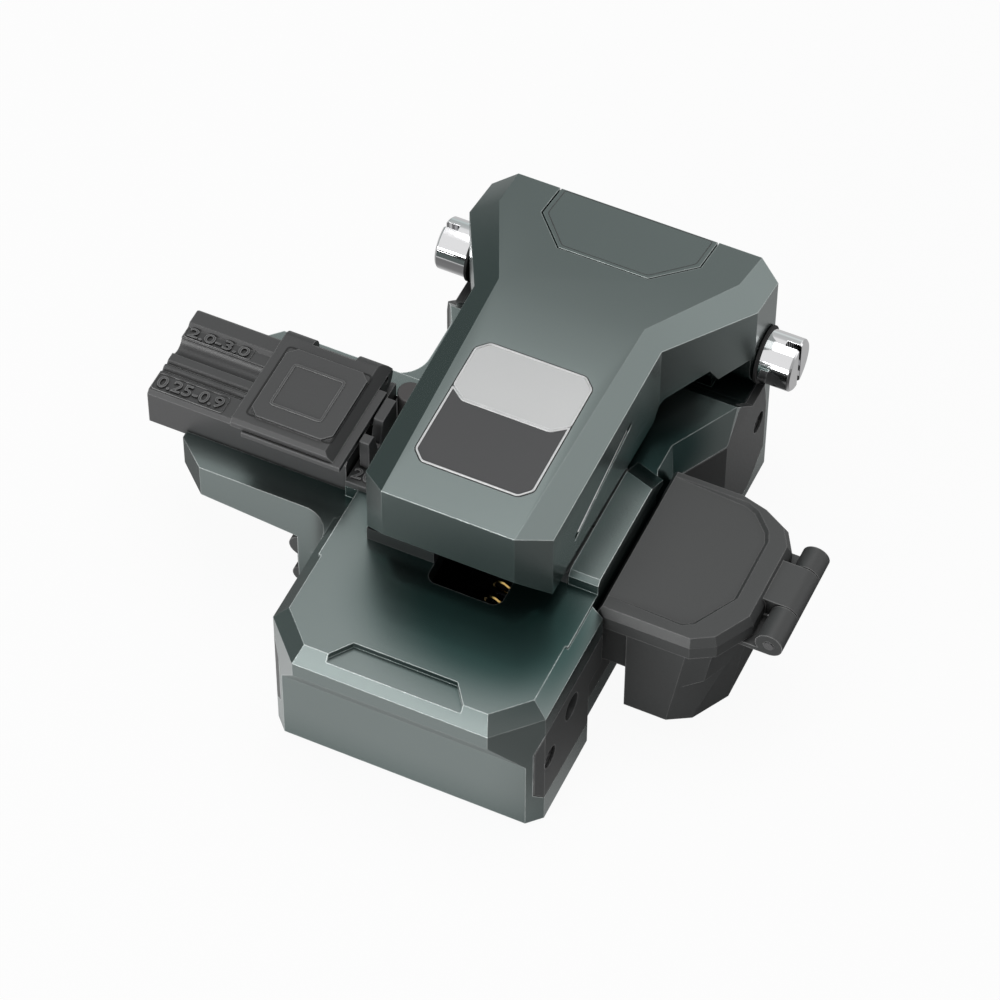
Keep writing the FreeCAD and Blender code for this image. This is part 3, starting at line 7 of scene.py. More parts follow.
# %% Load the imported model
import json
import math
import bpy
import bmesh
from mathutils import Matrix, Vector

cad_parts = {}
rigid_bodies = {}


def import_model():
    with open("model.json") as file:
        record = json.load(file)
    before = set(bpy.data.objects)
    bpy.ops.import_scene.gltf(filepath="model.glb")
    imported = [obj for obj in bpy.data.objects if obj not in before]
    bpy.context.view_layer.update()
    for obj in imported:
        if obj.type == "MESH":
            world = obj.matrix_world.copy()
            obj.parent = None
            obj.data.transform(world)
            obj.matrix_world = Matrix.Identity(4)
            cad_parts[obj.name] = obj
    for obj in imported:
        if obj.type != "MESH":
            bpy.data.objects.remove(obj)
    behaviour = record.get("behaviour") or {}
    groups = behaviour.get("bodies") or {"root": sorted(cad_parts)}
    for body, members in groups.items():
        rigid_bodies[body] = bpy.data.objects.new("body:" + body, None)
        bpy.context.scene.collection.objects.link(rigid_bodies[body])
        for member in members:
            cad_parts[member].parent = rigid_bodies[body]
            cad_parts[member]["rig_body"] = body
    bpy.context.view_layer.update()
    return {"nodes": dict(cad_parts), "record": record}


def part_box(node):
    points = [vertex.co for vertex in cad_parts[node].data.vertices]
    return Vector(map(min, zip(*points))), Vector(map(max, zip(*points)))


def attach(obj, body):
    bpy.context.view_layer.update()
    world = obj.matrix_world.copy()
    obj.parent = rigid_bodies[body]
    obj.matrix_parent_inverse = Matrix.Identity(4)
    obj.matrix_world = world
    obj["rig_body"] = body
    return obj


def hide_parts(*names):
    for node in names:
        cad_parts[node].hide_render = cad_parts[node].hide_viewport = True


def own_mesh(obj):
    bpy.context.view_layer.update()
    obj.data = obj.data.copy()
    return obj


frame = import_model()
nodes = frame["nodes"]
node_body = {name: obj["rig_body"] for name, obj in nodes.items()}
node_slot = {part["node"]: part.get("material_slot") for part in frame["record"].get("subparts", [])
             if "node" in part}

# %% [markdown]
# The casting was drawn from its own middle plane, its front panel and the bench, in millimetres.
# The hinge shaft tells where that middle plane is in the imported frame, so every place below can be
# given in the casting's own millimetres and still follows the CAD.

# %% Places in the casting's millimetres
HINGE_Y = 79.3
low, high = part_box("hinge_shaft")
MIDDLE = Vector(((low.x + high.x) / 2, (low.y + high.y) / 2 - HINGE_Y / 1000, 0))


def place(x, y, z):
    """A point of the casting, in millimetres, as a point of the frame, in metres."""
    return MIDDLE + Vector((x, y, z)) / 1000


print("the casting's zero lies at", [round(c, 4) for c in MIDDLE])

# %% [markdown]
# The camera stands where the photographer stood: 25 degrees to the right of straight ahead and 52
# degrees up, far enough away that the sides hardly converge. A long lens does that. The point that
# it aims at lies a few pixels off the middle of the picture, so the whole camera is moved by them.

# %% Camera
AZIMUTH, ELEVATION, ROLL = (math.radians(a) for a in (24.64, 51.56, 0.354))
DISTANCE = 0.7252
PIXELS_PER_MM = 6.5
FRAME_PIXELS = 1000
AIM_OFFSET = (1.25, -54.18)
SENSOR_MM = 36
aim = place(0, 35, 15)
towards = Vector((math.sin(AZIMUTH) * math.cos(ELEVATION), -math.cos(AZIMUTH) * math.cos(ELEVATION),
                  math.sin(ELEVATION)))
level = Vector((math.cos(AZIMUTH), math.sin(AZIMUTH), 0))
upright = towards.cross(level)
right = math.cos(ROLL) * level + math.sin(ROLL) * upright
up = math.cos(ROLL) * upright - math.sin(ROLL) * level
spot = aim - (AIM_OFFSET[0] * right + AIM_OFFSET[1] * up) / PIXELS_PER_MM / 1000 + DISTANCE * towards
camera = bpy.data.objects.new("camera", bpy.data.cameras.new("camera"))
camera.data.sensor_width = SENSOR_MM
camera.data.lens = SENSOR_MM * DISTANCE * 1000 * PIXELS_PER_MM / FRAME_PIXELS
camera.data.clip_end = 10
camera.matrix_world = Matrix.Translation(spot) @ Matrix((right, up, towards)).transposed().to_4x4()
bpy.context.scene.collection.objects.link(camera)
bpy.context.scene.camera = camera
bpy.context.scene.view_settings.view_transform = "Standard"
print("camera with a lens of", round(camera.data.lens), "mm at", [round(c, 3) for c in spot])

# %% [markdown]
# Shaders are trees of nodes. A few helpers make one node each, so that a tree reads like a sum.
# What goes into a socket is either a constant or another node's output.


# %% Node helpers
def feed(tree, socket, value):
    """Link a socket where the value is another socket, and otherwise set its constant."""
    if isinstance(value, bpy.types.NodeSocket):
        tree.links.new(value, socket)
    else:
        socket.default_value = value


def node_of(tree, kind, **inputs):
    """A new node with some of its inputs fed, by name, or by number as i0, i1 and i2."""
    node = tree.nodes.new(kind)
    for name, value in inputs.items():
        numbered = name[0] == "i" and name[1:].isdigit()
        feed(tree, node.inputs[int(name[1:]) if numbered else name.replace("_", " ")], value)
    return node


def maths(tree, operation, a, b=0.0, clamp=False):
    """The result of one Math node."""
    node = node_of(tree, "ShaderNodeMath", i0=a, i1=b)
    node.operation = operation
    node.use_clamp = clamp
    return node.outputs[0]


def vectors(tree, operation, a, b=(0, 0, 0), result="Vector"):
    """The result of one Vector Math node."""
    node = node_of(tree, "ShaderNodeVectorMath", i0=a, i1=b)
    node.operation = operation
    return node.outputs[result]


def along(tree, vector, direction):
    """How far a vector points in a direction."""
    return vectors(tree, "DOT_PRODUCT", vector, direction, "Value")


def ranged(tree, value, low_in, high_in, low_out, high_out, smooth=False):
    """A value carried from one range to another."""
    node = node_of(tree, "ShaderNodeMapRange", Value=value, From_Min=low_in, From_Max=high_in,
                   To_Min=low_out, To_Max=high_out)
    if smooth:
        node.interpolation_type = "SMOOTHSTEP"
    return node.outputs["Result"]


def blended(tree, factor, first, second):
    """A colour between two, by a factor from 0 to 1."""
    node = tree.nodes.new("ShaderNodeMix")
    node.data_type = "RGBA"
    for label, value in (("Factor", factor), ("A", first), ("B", second)):
        feed(tree, node.inputs[label], value)
    return node.outputs["Result"]


print("node helpers made")

# %% [markdown]
# The camera sees the world as plain white. The light that the world gives to matt faces is weaker,
# so the lamps can shape them. Mirror rays see it as a studio for metal: a dark screen on the left,
# a grey one on the right, a dimmer strip at the rear and a glow at the rear right. That is what
# gives bare metal its contrast; a world that is white all round would leave it flat.

# %% World
WHITE = (1, 1, 1, 1)
WORLD_LIGHT = 0.30
GLOSS_LIGHT = 0.85
LEFT_SCREEN = Vector((-0.93, 0.25, -0.10)).normalized()
LEFT_FADE = (0.3, 0.86)
LEFT_LIGHT = 0.14
LEFT_TINT = (0.62, 1.0, 0.95, 1)
RIGHT_SCREEN = Vector((0.80, -0.55, 0.25)).normalized()
RIGHT_FADE = (0.45, 0.9)
RIGHT_LIGHT = 0.40
REAR_GLOW = Vector((0.77, 0.565, 0.246)).normalized()
REAR_GLOW_FADE = (0.80, 0.97)
REAR_GLOW_LIGHT = 0.40
REAR_SCREEN = Vector((-0.259, 0.855, 0.443)).normalized()
REAR_FADE = (0.945, 0.995)
REAR_SHARE = 0.68
world = bpy.data.worlds.new("studio")
world.use_nodes = True
tree = world.node_tree
tree.nodes.clear()
path = tree.nodes.new("ShaderNodeLightPath").outputs
gaze = tree.nodes.new("ShaderNodeTexCoord").outputs["Generated"]
left_shade = ranged(tree, along(tree, gaze, LEFT_SCREEN), *LEFT_FADE, 1.0, LEFT_LIGHT, smooth=True)
right_shade = ranged(tree, along(tree, gaze, RIGHT_SCREEN), *RIGHT_FADE, GLOSS_LIGHT, RIGHT_LIGHT,
                     smooth=True)
rear_glow = ranged(tree, along(tree, gaze, REAR_GLOW), *REAR_GLOW_FADE, 0.0, REAR_GLOW_LIGHT, smooth=True)
rear_shade = ranged(tree, along(tree, gaze, REAR_SCREEN), *REAR_FADE, 1.0, REAR_SHARE, smooth=True)
mirrored = maths(tree, "ADD", maths(tree, "MULTIPLY", left_shade, right_shade), rear_glow)
mirrored = maths(tree, "SUBTRACT", maths(tree, "MULTIPLY", mirrored, rear_shade), WORLD_LIGHT)
mirrored = maths(tree, "MULTIPLY", path["Is Glossy Ray"], mirrored)
seen = maths(tree, "MAXIMUM", path["Is Camera Ray"], path["Is Transmission Ray"])
strength = maths(tree, "ADD", maths(tree, "MULTIPLY", seen, 1 - WORLD_LIGHT), WORLD_LIGHT)
strength = maths(tree, "ADD", strength, mirrored)
tinted = maths(tree, "MULTIPLY", path["Is Glossy Ray"], maths(tree, "SUBTRACT", 1.0, left_shade))
sky_colour = blended(tree, tinted, WHITE, LEFT_TINT)
sky = node_of(tree, "ShaderNodeBackground", Color=sky_colour, Strength=strength)
tree.links.new(sky.outputs[0], tree.nodes.new("ShaderNodeOutputWorld").inputs["Surface"])
bpy.context.scene.world = world
print("world:", WORLD_LIGHT, "for matt faces; mirror rays see",
      round(LEFT_LIGHT * GLOSS_LIGHT, 2), "to", GLOSS_LIGHT + REAR_GLOW_LIGHT)

# %% [markdown]
# The floor is a sheet of white paper that keeps the tool's shadow. A glow that only the camera and
# mirror rays see makes it white, with no more light on matt faces. Mirror rays see it bright in
# front and to the left, dim behind and to the right, where a real sheet would end, and lighter far
# behind.

# %% Floor
FLOOR_HALF = 1.5
PAPER = (0.85, 0.85, 0.85, 1)
GLOW_SHARE = 0.94
FLOOR_LIGHT = 0.20
SHEET_REAR = place(0, 16, 0).y
SHEET_RIGHT = place(22, 0, 0).x
SHEET_FADE = 0.012
FAR_FLOOR_FROM, FAR_FLOOR_TO = place(0, 62, 0).y, place(0, 90, 0).y
FAR_FLOOR_LIGHT = 0.40
floor_corners = [(sx * FLOOR_HALF, sy * FLOOR_HALF, 0) for sx, sy in ((-1, -1), (1, -1), (1, 1), (-1, 1))]
floor_mesh = bpy.data.meshes.new("floor")
floor_mesh.from_pydata(floor_corners, [], [(0, 1, 2, 3)])
floor = bpy.data.objects.new("floor", floor_mesh)
bpy.context.scene.collection.objects.link(floor)
paper = bpy.data.materials.new("white_paper")
paper.use_nodes = True
tree = paper.node_tree
tree.nodes.clear()
path = tree.nodes.new("ShaderNodeLightPath").outputs
on_floor = tree.nodes.new("ShaderNodeTexCoord").outputs["Object"]
rearwards = along(tree, on_floor, (0, 1, 0))
rightwards = along(tree, on_floor, (1, 0, 0))
behind = ranged(tree, rearwards, SHEET_REAR - SHEET_FADE, SHEET_REAR + SHEET_FADE, 1.0, FLOOR_LIGHT,
                smooth=True)
beside = ranged(tree, rightwards, SHEET_RIGHT - SHEET_FADE, SHEET_RIGHT + SHEET_FADE,
                GLOSS_LIGHT, FLOOR_LIGHT, smooth=True)
far_behind = ranged(tree, rearwards, FAR_FLOOR_FROM, FAR_FLOOR_TO, 0.0, FAR_FLOOR_LIGHT, smooth=True)
mirrored = maths(tree, "ADD", maths(tree, "MULTIPLY", behind, beside), far_behind)
mirrored = maths(tree, "MULTIPLY", path["Is Glossy Ray"], mirrored)
glow = node_of(tree, "ShaderNodeEmission", Color=WHITE,
               Strength=maths(tree, "ADD", path["Is Camera Ray"], mirrored))
matt = node_of(tree, "ShaderNodeBsdfDiffuse", Color=PAPER)
seen = maths(tree, "MAXIMUM", path["Is Camera Ray"], path["Is Glossy Ray"])
sheet = node_of(tree, "ShaderNodeMixShader", i0=maths(tree, "MULTIPLY", seen, GLOW_SHARE),
                i1=matt.outputs[0], i2=glow.outputs[0])
tree.links.new(sheet.outputs[0], tree.nodes.new("ShaderNodeOutputMaterial").inputs["Surface"])
floor.data.materials.append(paper)
print("floor of", 2 * FLOOR_HALF, "m each way")

# %% [markdown]
# Two soft lamps help the world: a low, long one in front draws a highlight along the front
# bevels, and a square one overhead lights the floor and the tops of the dark plastic.

# %% Lamps
LAMP_TARGET = (0, 0, 0.02)
FRONT_AT, FRONT_SIZE, FRONT_WATTS = (-0.26, -0.74, 0.18), (0.6, 0.24), 4.0
TOP_AT, TOP_SIZE, TOP_WATTS = (0.0, 0.10, 0.80), (0.5, 0.5), 2.2


def soft_box(name, at, size, watts):
    """A rectangular area lamp that faces the tool."""
    data = bpy.data.lights.new(name, "AREA")
    data.shape = "RECTANGLE"
    data.size, data.size_y = size
    data.energy = watts
    lamp = bpy.data.objects.new(name, data)
    direction = Vector(LAMP_TARGET) - Vector(at)
    lamp.matrix_world = Matrix.Translation(at) @ direction.to_track_quat("-Z", "Y").to_matrix().to_4x4()
    bpy.context.scene.collection.objects.link(lamp)
    return lamp


lamps = [soft_box("lamp_front", FRONT_AT, FRONT_SIZE, FRONT_WATTS),
         soft_box("lamp_top", TOP_AT, TOP_SIZE, TOP_WATTS)]
print(len(lamps), "lamps of", [round(lamp.data.energy, 1) for lamp in lamps], "watts")

# %% [markdown]
# The finishes share some effects, so each effect is a node group with named inputs, made once. The
# first is a fine grain. A small noise gives the surface a little relief and changes its gloss, and
# a broad one mottles its colour.

# %% Fine grain
FLOAT, VECTOR, COLOR = "NodeSocketFloat", "NodeSocketVector", "NodeSocketColor"
GREY = (0.2, 0.2, 0.2, 1)
GRAIN_SIZE, GRAIN_DETAIL = 3000.0, 3.0
CLOUD_SIZE, CLOUD_DETAIL = 45.0, 2.0
MOTTLE = 0.08
NOISE_MIDDLE = 0.5


def new_group(name, inputs, outputs):
    """An empty shader group with named sockets, what it is given and what it puts out."""
    group = bpy.data.node_groups.new(name, "ShaderNodeTree")
    for label, kind, value in inputs:
        group.interface.new_socket(label, in_out="INPUT", socket_type=kind).default_value = value
    for label, kind in outputs:
        group.interface.new_socket(label, in_out="OUTPUT", socket_type=kind)
    return group, group.nodes.new("NodeGroupInput").outputs, group.nodes.new("NodeGroupOutput").inputs


grain, given, out = new_group(
    "fine_grain",
    [("Size", FLOAT, GRAIN_SIZE), ("Mottle", FLOAT, MOTTLE), ("Gloss Change", FLOAT, 0.1),
     ("Roughness", FLOAT, 0.4), ("Color", COLOR, GREY)],
    [("Color", COLOR), ("Roughness", FLOAT), ("Height", FLOAT)])
coordinates = grain.nodes.new("ShaderNodeTexCoord").outputs["Object"]
fine = node_of(grain, "ShaderNodeTexNoise", Vector=coordinates, Scale=given["Size"], Detail=GRAIN_DETAIL)
cloud = node_of(grain, "ShaderNodeTexNoise", Vector=coordinates, Scale=CLOUD_SIZE, Detail=CLOUD_DETAIL)
spread = maths(grain, "SUBTRACT", cloud.outputs[0], NOISE_MIDDLE)
brightness = maths(grain, "ADD", maths(grain, "MULTIPLY", spread, given["Mottle"]), 1.0)
tint = grain.nodes.new("ShaderNodeVectorMath")
tint.operation = "SCALE"
feed(grain, tint.inputs[0], given["Color"])
feed(grain, tint.inputs["Scale"], brightness)
speck = maths(grain, "SUBTRACT", fine.outputs[0], NOISE_MIDDLE)
speck = maths(grain, "MULTIPLY", speck, given["Gloss Change"])
feed(grain, out["Color"], tint.outputs[0])
feed(grain, out["Roughness"], maths(grain, "ADD", given["Roughness"], speck, clamp=True))
feed(grain, out["Height"], fine.outputs[0])
print("grain group of", len(grain.nodes), "nodes")

# %% [markdown]
# Edges are painted lighter: partly wear, where handling rubs a casting bright, and partly a painted
# highlight along each edge. An edge is found by comparing the surface's normal with one that a Bevel
# node has rounded: on a flat face they agree, near a corner they part. A noise breaks the line up
# unevenly.

# %% Worn edges with painted highlights
EDGE_SAMPLES = 6
EDGE_FROM, EDGE_TO = 0.995, 0.86
BREAKUP_SIZE = 420.0
BREAKUP_FADE = (0.3, 0.6)
BREAKUP_LEAST = 0.55
wear_and_highlight, given, out = new_group(
    "edge_wear_and_highlight", [("Radius", FLOAT, 0.0003), ("Amount", FLOAT, 1.0)], [("Mask", FLOAT)])
rounded = node_of(wear_and_highlight, "ShaderNodeBevel", Radius=given["Radius"])
rounded.samples = EDGE_SAMPLES
plain_normal = wear_and_highlight.nodes.new("ShaderNodeNewGeometry").outputs["Normal"]
edge = ranged(wear_and_highlight, along(wear_and_highlight, rounded.outputs[0], plain_normal), EDGE_FROM, EDGE_TO, 0.0, 1.0)
breakup_at = wear_and_highlight.nodes.new("ShaderNodeTexCoord").outputs["Object"]
breakup = node_of(wear_and_highlight, "ShaderNodeTexNoise", Vector=breakup_at, Scale=BREAKUP_SIZE)
broken = ranged(wear_and_highlight, breakup.outputs[0], *BREAKUP_FADE, BREAKUP_LEAST, 1.0)
mask = maths(wear_and_highlight, "MULTIPLY", maths(wear_and_highlight, "MULTIPLY", edge, broken), given["Amount"], clamp=True)
feed(wear_and_highlight, out["Mask"], mask)
print("wear group of", len(wear_and_highlight.nodes), "nodes")

# %% [markdown]
# Nooks look darker than open faces, because less light comes in. The third group finds them with
# an Ambient Occlusion node and paints shade there, turning the colour towards a shade of its own.
# It is there for the look, and stands for no separate part.

# %% Painted shade in nooks
NOOK_SAMPLES = 6
nook_shade, given, out = new_group(
    "painted_nook_shade",
    [("Reach", FLOAT, 0.015), ("Open From", FLOAT, 0.5), ("Open To", FLOAT, 0.9),
     ("Shade", COLOR, (0.1, 0.1, 0.1, 1)), ("Color", COLOR, GREY)],
    [("Color", COLOR)])
sky_seen = node_of(nook_shade, "ShaderNodeAmbientOcclusion", Distance=given["Reach"])
sky_seen.samples = NOOK_SAMPLES
openness = ranged(nook_shade, sky_seen.outputs["AO"], given["Open From"], given["Open To"], 0.0, 1.0,
                  smooth=True)
feed(nook_shade, out["Color"], blended(nook_shade, openness, given["Shade"], given["Color"]))
print("nook group of", len(nook_shade.nodes), "nodes")

# %% [markdown]
# The real casting mirrors something dark in two places: on the table round the blade's slot, and on
# the saddle behind the scrap box. The screens of this set can't give that, so a fourth group paints a
# dark reflection into the colour of an oval there. It is found by Object coordinates, so it stays on
# the metal.

# %% Painted dark reflections
OVAL_CORE = 0.35
oval, given, out = new_group(
    "painted_reflection_oval",
    [("Middle", VECTOR, (0, 0, 0)), ("Reach", VECTOR, (1, 1, 1)),
     ("Shade", COLOR, (0.1, 0.1, 0.1, 1)), ("Color", COLOR, GREY)],
    [("Color", COLOR)])
here_on_it = oval.nodes.new("ShaderNodeTexCoord").outputs["Object"]
share = vectors(oval, "DIVIDE", vectors(oval, "SUBTRACT", here_on_it, given["Middle"]), given["Reach"])
radius = vectors(oval, "LENGTH", share, result="Value")
outside = ranged(oval, radius, OVAL_CORE, 1.0, 0.0, 1.0, smooth=True)
feed(oval, out["Color"], blended(oval, outside, given["Shade"], given["Color"]))
print("oval group of", len(oval.nodes), "nodes")

# %% [markdown]
# Each finish is one Principled shader with its constants on its own sockets. Only the colour, the
# roughness and the relief change over the surface, through the groups.

# %% Making a finish
BUMP_DEPTH = 0.0002


def placed(tree, group, **inputs):
    """A node that holds a shader group, with its inputs fed by name."""
    node = tree.nodes.new("ShaderNodeGroup")
    node.node_tree = group
    for name, value in inputs.items():
        feed(tree, node.inputs[name.replace("_", " ")], value)
    return node


def finish(name, color, roughness, metallic=0.0, change=0.15, bump=0.02, edge_color=None,
           edge_width=0.00022, edge_amount=0.8, shade=None, reach=None, opens=None, ovals=()):
    """A material with grain, and, where it has colours for them, worn and painted-highlight edges, painted
    nook shade and painted dark reflections.
    """
    material = bpy.data.materials.new(name)
    material.use_nodes = True
    tree = material.node_tree
    shader = tree.nodes["Principled BSDF"]
    shader.inputs["Metallic"].default_value = metallic
    grained = placed(tree, grain, Size=GRAIN_SIZE, Mottle=MOTTLE, Gloss_Change=change,
                     Roughness=roughness, Color=(*color, 1))
    colour = grained.outputs["Color"]
    # Painted dark reflections, one oval each.
    for middle, half_sizes, reflection_color in ovals:
        darkened = placed(tree, oval, Middle=middle, Reach=half_sizes, Shade=(*reflection_color, 1), Color=colour)
        colour = darkened.outputs["Color"]
    # Painted shade in the nooks.
    if shade:
        nook_shaded = placed(tree, nook_shade, Reach=reach, Open_From=opens[0], Open_To=opens[1],
                           Shade=(*shade, 1), Color=colour)
        colour = nook_shaded.outputs["Color"]
    # Edges painted lighter, as wear and as a painted highlight.
    if edge_color:
        worn_and_lit = placed(tree, wear_and_highlight, Radius=edge_width, Amount=edge_amount)
        colour = blended(tree, worn_and_lit.outputs["Mask"], colour, (*edge_color, 1))
    relief = node_of(tree, "ShaderNodeBump", Height=grained.outputs["Height"], Strength=bump,
                     Distance=BUMP_DEPTH)
    feed(tree, shader.inputs["Base Color"], colour)
    feed(tree, shader.inputs["Roughness"], grained.outputs["Roughness"])
    feed(tree, shader.inputs["Normal"], relief.outputs[0])
    return material


print("finish maker ready")

# %% [markdown]
# The casting is a dark, slightly green metal with a satin surface. The cover and the holder are
# black plastic with a soft sheen, the caps are chrome, and the label is brushed light and dark.
# The pieces inside, such as the brass spring and the bronze bushes, show when the lid is open.

# %% Finishes
# Places, half sizes and colours of the two painted dark reflections, then the colours of the painted shade
# in nooks.
TABLE_REFLECTION = (place(9, 14, 28), (0.027, 0.020, 0.006), (0.035, 0.075, 0.070))
SADDLE_REFLECTION = (place(20, 53, 28), (0.013, 0.013, 0.008), (0.040, 0.075, 0.072))
CASTING_NOOK_SHADE = (0.018, 0.055, 0.050)
PLASTIC_NOOK_SHADE = (0.008, 0.008, 0.008)
finishes = {
    "casting": finish("satin_casting", (0.200, 0.234, 0.228), 0.26, 0.88, change=0.012, bump=0.0,
                      edge_color=(0.80, 0.84, 0.83), edge_width=0.00028, edge_amount=1.0,
                      shade=CASTING_NOOK_SHADE, reach=0.016, opens=(0.20, 0.70),
                      ovals=(TABLE_REFLECTION, SADDLE_REFLECTION)),
    "cover": finish("moulded_cover", (0.055, 0.057, 0.057), 0.48, edge_color=(0.32, 0.32, 0.32),
                    edge_width=0.0003, shade=PLASTIC_NOOK_SHADE, reach=0.0012, opens=(0.45, 0.95)),
    "plastic": finish("moulded_plastic", (0.062, 0.062, 0.063), 0.43, bump=0.05,
                      edge_color=(0.34, 0.34, 0.34), edge_width=0.0003,
                      shade=PLASTIC_NOOK_SHADE, reach=0.0010, opens=(0.45, 0.95)),
    "dark_pin": finish("blackened_pin", (0.075, 0.070, 0.070), 0.5, 0.3, edge_color=(0.2, 0.2, 0.2)),
    "label_bright": finish("label_bright", (0.48, 0.48, 0.48), 0.38, 0.92, edge_color=(0.9, 0.9, 0.9)),
    "label_dark": finish("label_dark", (0.06, 0.06, 0.062), 0.35, 0.2, edge_color=(0.5, 0.5, 0.5)),
    "chrome": finish("chrome", (0.86, 0.86, 0.87), 0.06, 1.0, change=0.03, bump=0.0),
    "rubber": finish("rubber", (0.02, 0.02, 0.02), 0.75, bump=0.1),
    "steel": finish("ground_steel", (0.55, 0.55, 0.56), 0.28, 1.0),
    "carbide": finish("carbide", (0.42, 0.42, 0.44), 0.16, 1.0),
    "anodised": finish("black_anodised", (0.03, 0.033, 0.033), 0.4, 0.3, edge_color=(0.15, 0.15, 0.15)),
    "spring_brass": finish("gilt_spring", (0.72, 0.48, 0.16), 0.2, 1.0),
    "bronze": finish("bush_bronze", (0.5, 0.34, 0.16), 0.35, 1.0),
}
slot_finish = {"casting": "casting", "lid_casting": "casting", "cover_plastic": "cover",
               "holder_plastic": "plastic", "label_metal": "label_bright", "label_dark": "label_dark"}
for name, obj in nodes.items():
    slot = node_slot.get(name)
    obj.data.materials.clear()
    obj.data.materials.append(finishes[slot_finish.get(slot, slot if slot in finishes else "steel")])
print(len(finishes), "finishes on", len(nodes), "nodes")

# %% [markdown]
# The post beside the fibre's guide is a steel pin, but on the real tool it looks black.

# %% Black post
nodes["guide_post"].data.materials[0] = finishes["dark_pin"]
print("guide_post is", nodes["guide_post"].data.materials[0].name)

# %% [markdown]
# Real castings and mouldings have no knife edges. A copy of a CAD node, with its triangles merged
# into flat faces, gets a small bevel along each corner; the bevel is what catches the light.

# %% Bevelled copies
MERGE_WITHIN = 2e-6
FLAT_WITHIN = math.radians(0.6)


def crisp(name, source, width, segments=2, angle=24):
    """A copy of a CAD node with small bevels, which stands for the node."""
    mesh = bpy.data.meshes.new(name)
    work = bmesh.new()
    work.from_mesh(nodes[source].data)
    bmesh.ops.remove_doubles(work, verts=work.verts, dist=MERGE_WITHIN)
    bmesh.ops.dissolve_limit(work, angle_limit=FLAT_WITHIN, verts=work.verts, edges=work.edges)
    for edge in work.edges:
        edge.smooth = len(edge.link_faces) == 2 and edge.calc_face_angle(0) < math.radians(angle)
    for face in work.faces:
        face.smooth = True
    work.to_mesh(mesh)
    work.free()
    piece = bpy.data.objects.new(name, mesh)
    bpy.context.scene.collection.objects.link(piece)
    mesh.materials.append(nodes[source].data.materials[0])
    bevel = piece.modifiers.new("bevel", "BEVEL")
    bevel.width = width
    bevel.segments = segments
    bevel.limit_method = "ANGLE"
    bevel.angle_limit = math.radians(angle)
    bevel.harden_normals = True
    bevel.use_clamp_overlap = True
    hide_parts(source)
    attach(piece, node_body[source])
    return piece


crisp("casting", "base_body", width=0.0004)
crisp("lid_cover", "lid_shell", width=0.0007, segments=3)
print("casting and lid bevelled")

# %% [markdown]
# The smaller pieces get bevels that suit them, from 0.4 mm on the scrap box down to 0.08 mm on the
# label.

# %% Smaller bevelled copies
smaller_pieces = (
    ("side_moulding_right", "right_side_cover", 0.0002), ("side_moulding_left", "left_side_cover", 0.0002),
    ("scrap_box", "collector_box", 0.0004), ("scrap_lid", "collector_lid", 0.00016),
    ("holder_bar", "holder_body", 0.0003), ("holder_cover", "holder_clamp", 0.0003),
    ("cap_right", "hinge_knob_right", 0.0001), ("cap_left", "hinge_knob_left", 0.0001),
    ("pivot_rings", "hinge_rings", 0.0001), ("label_plate", "label_upper", 0.00008),
    ("label_field", "label_lower", 0.00008), ("lid_panel", "lid_rear_panel", 0.00012),
    ("cover_under_wing", "web_cover", 0.0002), ("notched_guide", "fibre_guide", 0.00015),
    ("guide_pin", "guide_post", 0.0002), ("plate_under_cover", "clamp_plate", 0.00015),
    ("graduated_plate", "scale_plate", 0.00015), ("gripping_pad", "holder_grip_pad", 0.0002))
for copied, source, width in smaller_pieces:
    crisp(copied, source, width=width)
print(len(smaller_pieces), "smaller pieces bevelled")

# %% [markdown]
# The drive spring is pressed together as the blade carriage comes forward, and its front end stays
# put against the casting. Here it gets a bevelled copy with a mesh of its own, shaped as the CAD drew it.

# %% Spring
coil = crisp("coil", "drive_spring", width=0.00004, segments=1, angle=50)
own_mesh(coil)

# %% [markdown]
# Thin raised lines frame the label, the numbers and the pad of the holder's cover. Each is a ribbon
# along an outline, with corners rounded by a short arc, laid on a surface whose height is a
# function of the place. These helpers make the outline, one further in, and the ribbon itself.

# %% Ribbons along outlines
LEAST_MITRE = 0.3
RIBBON_SINK = 0.05
RIBBON_SLOPE = 0.5


def rounded_outline(points, radius, steps=4):
    """An outline with its corners replaced by short curves that start a radius away."""
    result = []
    for i, here in enumerate(points):
        here = Vector(here)
        before, after = Vector(points[i - 1]), Vector(points[(i + 1) % len(points)])
        start = here + (before - here).normalized() * radius
        end = here + (after - here).normalized() * radius
        for step in range(steps + 1):
            t = step / steps
            result.append(start * (1 - t) ** 2 + here * 2 * t * (1 - t) + end * t ** 2)
    return result


def inward(points, distance):
    """The same outline moved to its left by a distance."""
    moved = []
    for i, here in enumerate(points):
        before = (here - points[i - 1]).normalized()
        after = (points[(i + 1) % len(points)] - here).normalized()
        normals = [Vector((-d.y, d.x)) for d in (before, after)]
        middle = (normals[0] + normals[1]).normalized()
        moved.append(here + middle * distance / max(middle.dot(normals[0]), LEAST_MITRE))
    return moved


def as_piece(name, mesh, source, material):
    """An object of the scene that goes with a CAD node's body, with the finish it is given."""
    piece = bpy.data.objects.new(name, mesh)
    bpy.context.scene.collection.objects.link(piece)
    mesh.materials.clear()
    mesh.materials.append(finishes[material])
    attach(piece, node_body[source])
    return piece


